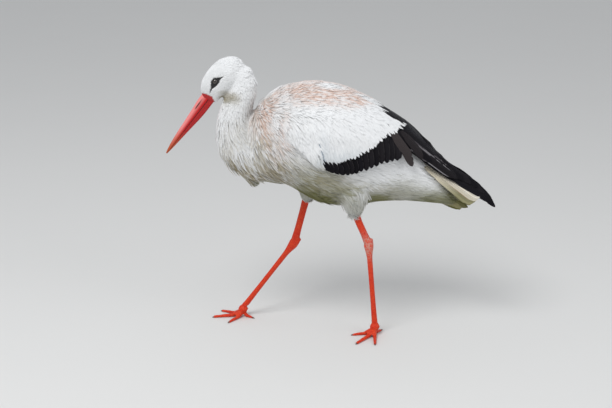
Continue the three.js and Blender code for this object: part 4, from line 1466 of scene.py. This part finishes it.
def tail_fan(tail):
    """The tail's own feathers, from the outermost pair to the middle. The outer ones are olive, partly
    staining and partly painted shade and green light.
    """
    fan = Relief(["tail"], (0, 1, 1), 2)
    low, high = (np.array(corner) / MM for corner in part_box("tail"))
    for pair in range(TAIL_PAIRS):
        out = 1 - pair / (TAIL_PAIRS - 0.5)
        stain_and_shade = [0.8 * float(np.interp(out, [0.72, 0.8], [0.0, 1.0]))]
        for sign in SIDES.values():
            t = np.linspace(0, 1.02, 8)
            line = np.stack([low[0] + (high[0] - low[0] - 24 * out**2) * t,
                             sign * out * (22 + (high[1] - 30) * t**0.8)], axis=1)
            laid = fan.laid(line, (-5.0 + pair, -2.4 + 0.4 * pair))
            cream = mixed(WHITE[None], CREAM, [0.3 + 0.5 * out])[0]
            colour = mixed(cream[None], OLIVE_DIRT_AND_SHADE, stain_and_shade)[0]
            rim = TAN if 0.6 < out < 0.8 else mixed((CREAM * 0.8)[None], OLIVE_DIRT_AND_SHADE, stain_and_shade)[0]
            tail.add(laid, HALF_WIDTHS["tail"], colour, rim, cream, tilt=4 * sign, roundness=0.85)


# ---------------------------------------------------------------------------
# Bill, eyes and claws
# ---------------------------------------------------------------------------


BILL_BURIED = (0.030, 0.015)  # the bill's last two rings lie this far back in the head


def bill_pieces():
    """Both halves of the bill, with the slit of the nostril and the ridge along the lower jaw."""
    points, triangles = cad_mesh(["bill_upper", "bill_lower"])
    low, high = span(points, BILL_BASE, -HEAD_AXIS)
    distances = np.linspace(low + 0.018, high - 0.0008, 110)
    whole, up = sections(points, triangles, BILL_BASE, -HEAD_AXIS, ACROSS, distances)
    under, _ = sections(*cad_mesh(["bill_lower"]), BILL_BASE, -HEAD_AXIS, ACROSS, distances)
    whole, under = evened(whole, 12), evened(under, 12)
    upward = up @ HEAD_RISE > 0
    culmen, keel = (whole[:, 3], whole[:, 2]) if upward else (-whole[:, 2], -whole[:, 3])
    gape = (under[:, 3] if upward else -under[:, 2]) + 0.0002
    half = (whole[:, 1] - whole[:, 0]) / 2
    base = distances[0]
    distances = np.concatenate([base - np.array(BILL_BURIED), distances])
    culmen, keel, gape, half = (np.concatenate([[v[0]] * 2, v]) for v in (culmen, keel, gape, half))
    start = base - 0.014
    share = np.clip((distances - start) / (distances[-1] - start), 0, 1)
    piece_of_bill("bill_upper", distances, share, gape, culmen, half)
    piece_of_bill("bill_lower", distances, share, gape, keel, half)


def piece_of_bill(name, distances, share, gape, top, half):
    """One half of the bill: an arched side from edge to edge, closed by a flat floor at the gape."""
    is_upper = name == "bill_upper"
    arch_count, floor_count = 44, 12
    turn = np.linspace(0, math.pi, arch_count)
    rings, horns = [], []
    for distance, t, g, far, wide in zip(distances, share, gape, top, half):
        edge = wide * (1.0 if is_upper else 0.955)
        side = edge * np.sign(np.cos(turn)) * np.abs(np.cos(turn)) ** 0.85
        rise = np.abs(np.sin(turn)) ** (1.05 if is_upper else 0.8)
        steep = np.interp(t, [0, 0.15, 1], [0.80, 0.92, 1.0])
        side = side * np.interp(rise, [0, 0.5, 1], [1, steep, 1])
        inward, dark = bill_relief(is_upper, t, rise)
        side = side - np.sign(side) * inward
        y = np.concatenate([side, np.linspace(-1, 1, floor_count + 2)[1:-1] * edge * 0.98])
        z = np.concatenate([g + (far - g) * rise + 0.0003 * np.sign(far - g), np.full(floor_count, g)])
        rings.append(BILL_BASE - HEAD_AXIS * distance + y[:, None] * ACROSS + z[:, None] * HEAD_RISE)
        up = np.append(rise if is_upper else -rise, np.zeros(floor_count))
        horns.append(np.stack([np.full(len(up), t), up, np.append(dark, np.ones(floor_count))], axis=1))
    points, triangles = tube(np.array(rings))
    horn = np.concatenate([*horns, [(0, 0, 0), (1, 0, 0)]])
    made = piece(f"horn_{name}", points, triangles, MATERIALS["bill"], {"horn": horn}, crease=60)
    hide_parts(name)


def bill_relief(is_upper, t, rise):
    """How far the bill's side is pressed in at each height, and how much painted shade lies there: in the
    nostril's slit, along the gape and on the lower jaw's pressed-in line.
    """
    if is_upper:
        along = math.exp(-(((t - 0.13) / 0.065) ** 4))
        line = np.exp(-(((rise - 0.62 - 0.5 * (t - 0.13)) / 0.07) ** 2))
        groove = np.exp(-(((rise - 0.42) / 0.16) ** 2)) * np.interp(t, [0, 0.1, 0.5, 0.8], [0, 1, 0.7, 0])
        edge = np.clip(1 - rise / 0.035, 0, 1)
        return 0.0016 * along * line + 0.0005 * groove, np.clip(along * line * 1.5 + edge * 0.9, 0, 1)
    ridge = np.exp(-(((rise - 0.45) / 0.10) ** 2)) * np.interp(t, [0, 0.08, 0.6, 0.9], [0, 1, 0.6, 0])
    edge = np.clip(1 - rise / 0.05, 0, 1)
    return 0.0007 * ridge, np.clip(edge * 0.85 + ridge * 0.18, 0, 1)


def eye_piece(side):
    middle, radius = eye_middle(side), eye_radius(side)
    points, triangles = ball(middle, radius, 40, 56)
    gaze = np.arccos(np.clip(unit(points - middle) @ gaze_of(side), -1, 1))
    made = piece(f"eyeball_{side}", points, triangles, MATERIALS["eye"], {"gaze": gaze})
    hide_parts(f"eye_{side}")


def claw_piece(name, side):
    (points, triangles), _, _ = limb(f"claw_{name}_{side}", 14, 14)
    points[:, 2] = np.maximum(points[:, 2], 0.0003)
    made = piece(f"nail_{name}_{side}", points, triangles, MATERIALS["claw"])
    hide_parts(f"claw_{name}_{side}")


# ---------------------------------------------------------------------------
# Skin and limits of the coat
# ---------------------------------------------------------------------------

# The chalky crust round the near ankle: its middle in metres, its reach in millimetres, and its strength
CRUST_MIDDLE, CRUST_REACH, CRUST_STRENGTH = np.array([0.0892, -0.042, 0.236]), 30.0, 1.6
RUFF_RISE = [(375, 22), (400, 15), (430, 6), (460, 0)]  # heights in the ruff, and how far the skin is raised
RUFF_BACK = [-0.228, -0.180]  # the rise fades out between these two x
TAIL_EDGE = [(205, 436), (340, 326)]  # the lower edge of the tail from the side, in millimetres
BREAST_END = -0.125  # the trunk's feathers are long and narrow before this x, broad behind it
UNDERTAIL_X, UNDERTAIL_TOP = (0.215, 0.286), 0.39  # where long loose feathers hang under the tail
STRANDS_END, STRANDS_Z = -0.150, (0.392, 0.475)  # and at the ruff's low end


def whole_skin(body):
    """The body's skin, eyelids and legs as one piece."""
    points, triangles = body_skin(body)
    lids = joined(*[eyelids(side) for side in SIDES])
    legs = [leg_skin(side) for side in SIDES]
    leg_points, leg_triangles = joined(*[(p, t) for p, t, _ in legs])
    scales = np.concatenate([scale_places(p, lines) for p, _, lines in legs])
    tint = plumage_colour(points, np.full(len(points), 0.5))
    tint = mixed(mixed(tint, BLACK, bareness(points)), RED, redness(points))
    tint = np.concatenate([tint, np.repeat(BLACK[None], len(lids[0]), 0), np.full((len(leg_points), 3), 0.5)])
    before = len(points) + len(lids[0])  # the points that are not on the legs
    away = (leg_points - CRUST_MIDDLE) / MM
    crust = np.exp(-(away**2).sum(1) / CRUST_REACH**2) * CRUST_STRENGTH
    points, triangles = joined((points, triangles), lids, (leg_points, leg_triangles))
    made = piece("skin", points, triangles, MATERIALS["skin"], {
        "tint": tint,
        "scales": np.concatenate([np.zeros((before, 3)), scales]),
        "crust": np.concatenate([np.zeros(before), crust]),
    })
    made.data.materials.append(MATERIALS["leg"])
    made.data.polygons.foreach_set("material_index", (triangles[:, 0] >= before).astype(np.int32))
    leg_parts = ["shank", "tarsus", "foot", *[f"toe_{name}" for name in TOE_NAMES]]
    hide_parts(*BODY_NODES, *COVERT_NODES, *[f"{part}_{side}" for side in SIDES for part in leg_parts])
    print(f"skin: {len(triangles)} triangles")


def ruff_raised(points, back=False):
    """Places in the ruff's low end raised into the long feathers that hang there, or lowered back."""
    heights, rises = np.array(RUFF_RISE, float).T
    way = -1 if back else 1
    heights = heights + rises * back
    share = np.interp(points[:, 0], RUFF_BACK, [1, 0])
    moved = points.copy()
    moved[:, 2] += way * share * np.interp(points[:, 2] / MM, heights, rises) * MM
    return moved


def evened_body(names, smoothing):
    """One smooth surface round the CAD nodes, raised where the ruff hangs loose."""
    points, triangles = remeshed(*cad_mesh(names), BODY_VOXEL, smoothing)
    return Surface(ruff_raised(points), triangles)


def owner_of(points, names):
    """Which of the named CAD nodes is nearest to each point."""
    meshes = [arrays(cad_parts[name].data) for name in names]
    owners = np.repeat(np.arange(len(names)), [len(triangles) for _, triangles in meshes])
    tree = search_tree(*joined(*meshes))
    return owners[np.array([tree.find_nearest(point)[2] for point in points.tolist()])]


def faces_of(*names):
    """The outline's triangles that lie on some CAD nodes."""
    return np.flatnonzero(np.isin(outline_owner, [owner_names.index(name) for name in names]))


def off_the_eye(spine):
    """Which feathers leave the eye and its bare skin free."""
    covered = np.max([bareness(places, 0.3) + redness(places) for places in spine.swapaxes(0, 1)], axis=0)
    clear = np.ones(len(spine), bool)
    for side in SIDES:
        gap = np.linalg.norm(spine - eye_middle(side), axis=2).min(1)
        clear &= gap > eye_radius(side) * 1.02
    return (covered < 0.35) & clear


def beyond(*names):
    """A measure of how far places lie from some CAD nodes."""
    tree = search_tree(*cad_mesh(names))
    return lambda points: np.array([tree.find_nearest(point)[3] for point in points.tolist()])


def in_the_ruff(gap):
    """The same measure, taken before the ruff is raised."""
    return lambda points: gap(ruff_raised(points, back=True))


def past_the_face(points):
    """How far places lie from the head, counted less behind the bill's base."""
    return HEAD_GAP(points) * np.interp(points[:, 0], [-0.285, -0.26], [1.0, 0.15])


def past_the_rump(points):
    """How far places lie from the trunk, counted less under the tail, where the feathers reach past it."""
    line = np.interp(points[:, 0] / MM, *np.array(TAIL_EDGE).T)
    return RUMP_GAP(points) * np.where(points[:, 2] / MM < line, 0.1, 1.0)


def between(values, limits):
    return (values > limits[0]) & (values < limits[1])


def under_wings(surface):
    """Triangles of the body that the wings lie over."""
    middle = surface.points[surface.triangles].mean(1)
    covered = outline.nearest(middle)[0]
    return np.flatnonzero(np.linalg.norm(covered - middle, axis=1) > 0.005)


# ---------------------------------------------------------------------------
# The stork
# ---------------------------------------------------------------------------

# The body without its wings, the body whose skin shows, and the outside of the whole coat
body = evened_body(BODY_NODES + EYE_NODES, 8)
flesh = evened_body(BODY_NODES + EYE_NODES + COVERT_NODES, 8)
outline = evened_body(BODY_NODES + EYE_NODES + COVERT_NODES + FLIGHT_NODES + ["tail"], 5)
UNWRAP = Unwrap(flesh.points, flesh.triangles)

whole_skin(flesh)
bill_pieces()
for side in SIDES:
    eye_piece(side)
    for toe in TOE_NAMES:
        claw_piece(toe, side)

owner_names = BODY_NODES + COVERT_NODES + FLIGHT_NODES + ["tail"]
outline_middle = outline.points[outline.triangles].mean(1)
outline_owner = owner_of(outline_middle, owner_names)
HEAD_GAP, RUMP_GAP = beyond("head", "neck_upper"), beyond("trunk", "tail_coverts")

HEAD_TUFTS = [tuft(1, 0.5, seed, 3) for seed in range(3)] + [tuft(2, 0.5, 9, 3)]
NECK_TUFTS = [plume(seed, 5) for seed in range(5)]
STRANDS = [plume(seed, 8) for seed in range(5, 9)]
BODY_TUFTS = [tuft(3, 0.75, seed, 4) for seed in range(6)]
WING_TUFTS = [tuft(3, 0.8, seed, 4) for seed in range(20, 24)] + [lance(seed) for seed in range(3)]

off_the_wing = in_the_ruff(beyond("trunk", "neck_lower", "tail_coverts", "thigh_left", "thigh_right"))
coat_piece("coat_head", outline, BODY_COAT, faces_of("head"), HEAD_TUFTS,
           seed=11, wander=7, thickness=0.35, keep=off_the_eye, bounds=past_the_face, spare=(0.5, 2))
coat_piece("coat_neck", outline, BODY_COAT, faces_of("neck_upper"), NECK_TUFTS, seed=12, wander=8)
coat_piece("coat_ruff", outline, BODY_COAT, faces_of("neck_lower"), NECK_TUFTS,
           seed=13, wander=7, thickness=0.8, bounds=in_the_ruff(beyond("neck_lower", "trunk")), spare=(1, 12))
trunk_faces = faces_of("trunk")
in_front = outline_middle[trunk_faces, 0] < BREAST_END
for side, sign in SIDES.items():
    on_side = outline_middle[trunk_faces, 1] * sign > 0
    for end, templates, at_end in (("front", NECK_TUFTS, in_front), ("rear", BODY_TUFTS, ~in_front)):
        faces = trunk_faces[on_side & at_end]
        coat_piece(f"coat_{end}_{side}", outline, BODY_COAT, faces, templates,
                   seed=14, wander=7, thickness=0.4, bounds=off_the_wing, spare=(6, 22))
rear_faces = faces_of("tail_coverts")
coat_piece("coat_rear", outline, BODY_COAT, rear_faces, BODY_TUFTS,
           seed=15, wander=5, bounds=past_the_rump, spare=(0.8, 4))
rear_middle = outline_middle[rear_faces]
under_tail = between(rear_middle[:, 0], UNDERTAIL_X) & (rear_middle[:, 2] < UNDERTAIL_TOP)
coat_piece("coat_undertail", outline, UNDERTAIL_COAT, rear_faces[under_tail], BODY_TUFTS,
           seed=19, wander=4, thickness=0.4)
ruff_faces = faces_of("neck_lower", "trunk")
ruff_middle = outline_middle[ruff_faces]
low_ruff = between(ruff_middle[:, 2], STRANDS_Z) & (ruff_middle[:, 0] < STRANDS_END)
coat_piece("coat_strands", outline, STRAND_COAT, ruff_faces[low_ruff], STRANDS, seed=20, wander=7)
for side in SIDES:
    coat_piece(f"coat_thigh_{side}", outline, THIGH_COAT, faces_of(f"thigh_{side}"), NECK_TUFTS,
               seed=16, wander=8, thickness=0.6, colour=thigh_colour)
    coat_piece(f"coat_wing_{side}", outline, WING_COAT, faces_of(f"coverts_{side}"), WING_TUFTS,
               seed=17, wander=5, thickness=0.4, camber=0.18, bounds=beyond(f"coverts_{side}"), spare=(0, 7))
    wing_quills(side)
tail_quills()
coat_piece("coat_flank", body, BODY_COAT, under_wings(body), BODY_TUFTS,
           seed=18, wander=6, thickness=0.7, spacing=1.7)


# ---------------------------------------------------------------------------
# Floor, light and camera
# ---------------------------------------------------------------------------

FLOOR_COLOUR = (0.70, 0.70, 0.69)
FLOOR_HALF = 15.0
WORLD_COLOUR, WORLD_STRENGTH = (0.95, 0.97, 1.0, 1.0), 0.60
CAMERA_PLACE = Vector((-0.0636, -2.853, 1.257))
CAMERA_AIM = Vector((-0.0636, 0.0, 0.3296))
CAMERA_LENS = 72.03


def make_floor():
    corners = np.array([(-1, -1, 0), (1, -1, 0), (1, 1, 0), (-1, 1, 0)], float) * FLOOR_HALF
    mesh = plain_mesh("floor", corners, np.array([(0, 1, 2), (0, 2, 3)]))
    mesh.materials.append(floor_material(FLOOR_COLOUR))
    linked("floor", mesh)


def stood(name, data, place, aim):
    """A lamp or camera at a place, pointed at another."""
    made = linked(name, data)
    made.location = place
    made.rotation_euler = (Vector(aim) - Vector(place)).to_track_quat("-Z", "Y").to_euler()
    return made


def make_lamp(name, place, size, watts):
    data = bpy.data.lights.new(name, "AREA")
    data.shape = "DISK"
    data.size = size
    data.energy = watts
    stood(name, data, place, (0, 0, 0.4))


def make_world():
    world = bpy.data.worlds.new("studio")
    bpy.context.scene.world = world
    world.use_nodes = True
    sky = world.node_tree.nodes["Background"].inputs
    sky["Color"].default_value = WORLD_COLOUR
    sky["Strength"].default_value = WORLD_STRENGTH


def make_camera():
    data = bpy.data.cameras.new("camera")
    data.lens = CAMERA_LENS
    data.sensor_width = 36
    data.clip_start, data.clip_end = 0.05, 60
    bpy.context.scene.camera = stood("camera", data, CAMERA_PLACE, CAMERA_AIM)


make_floor()
make_lamp("key", (-1.2, -1.9, 3.4), 1.8, 80)
make_lamp("fill", (2.4, -1.6, 1.8), 2.0, 16)
make_world()
make_camera()
bpy.context.scene.view_settings.view_transform = "Standard"
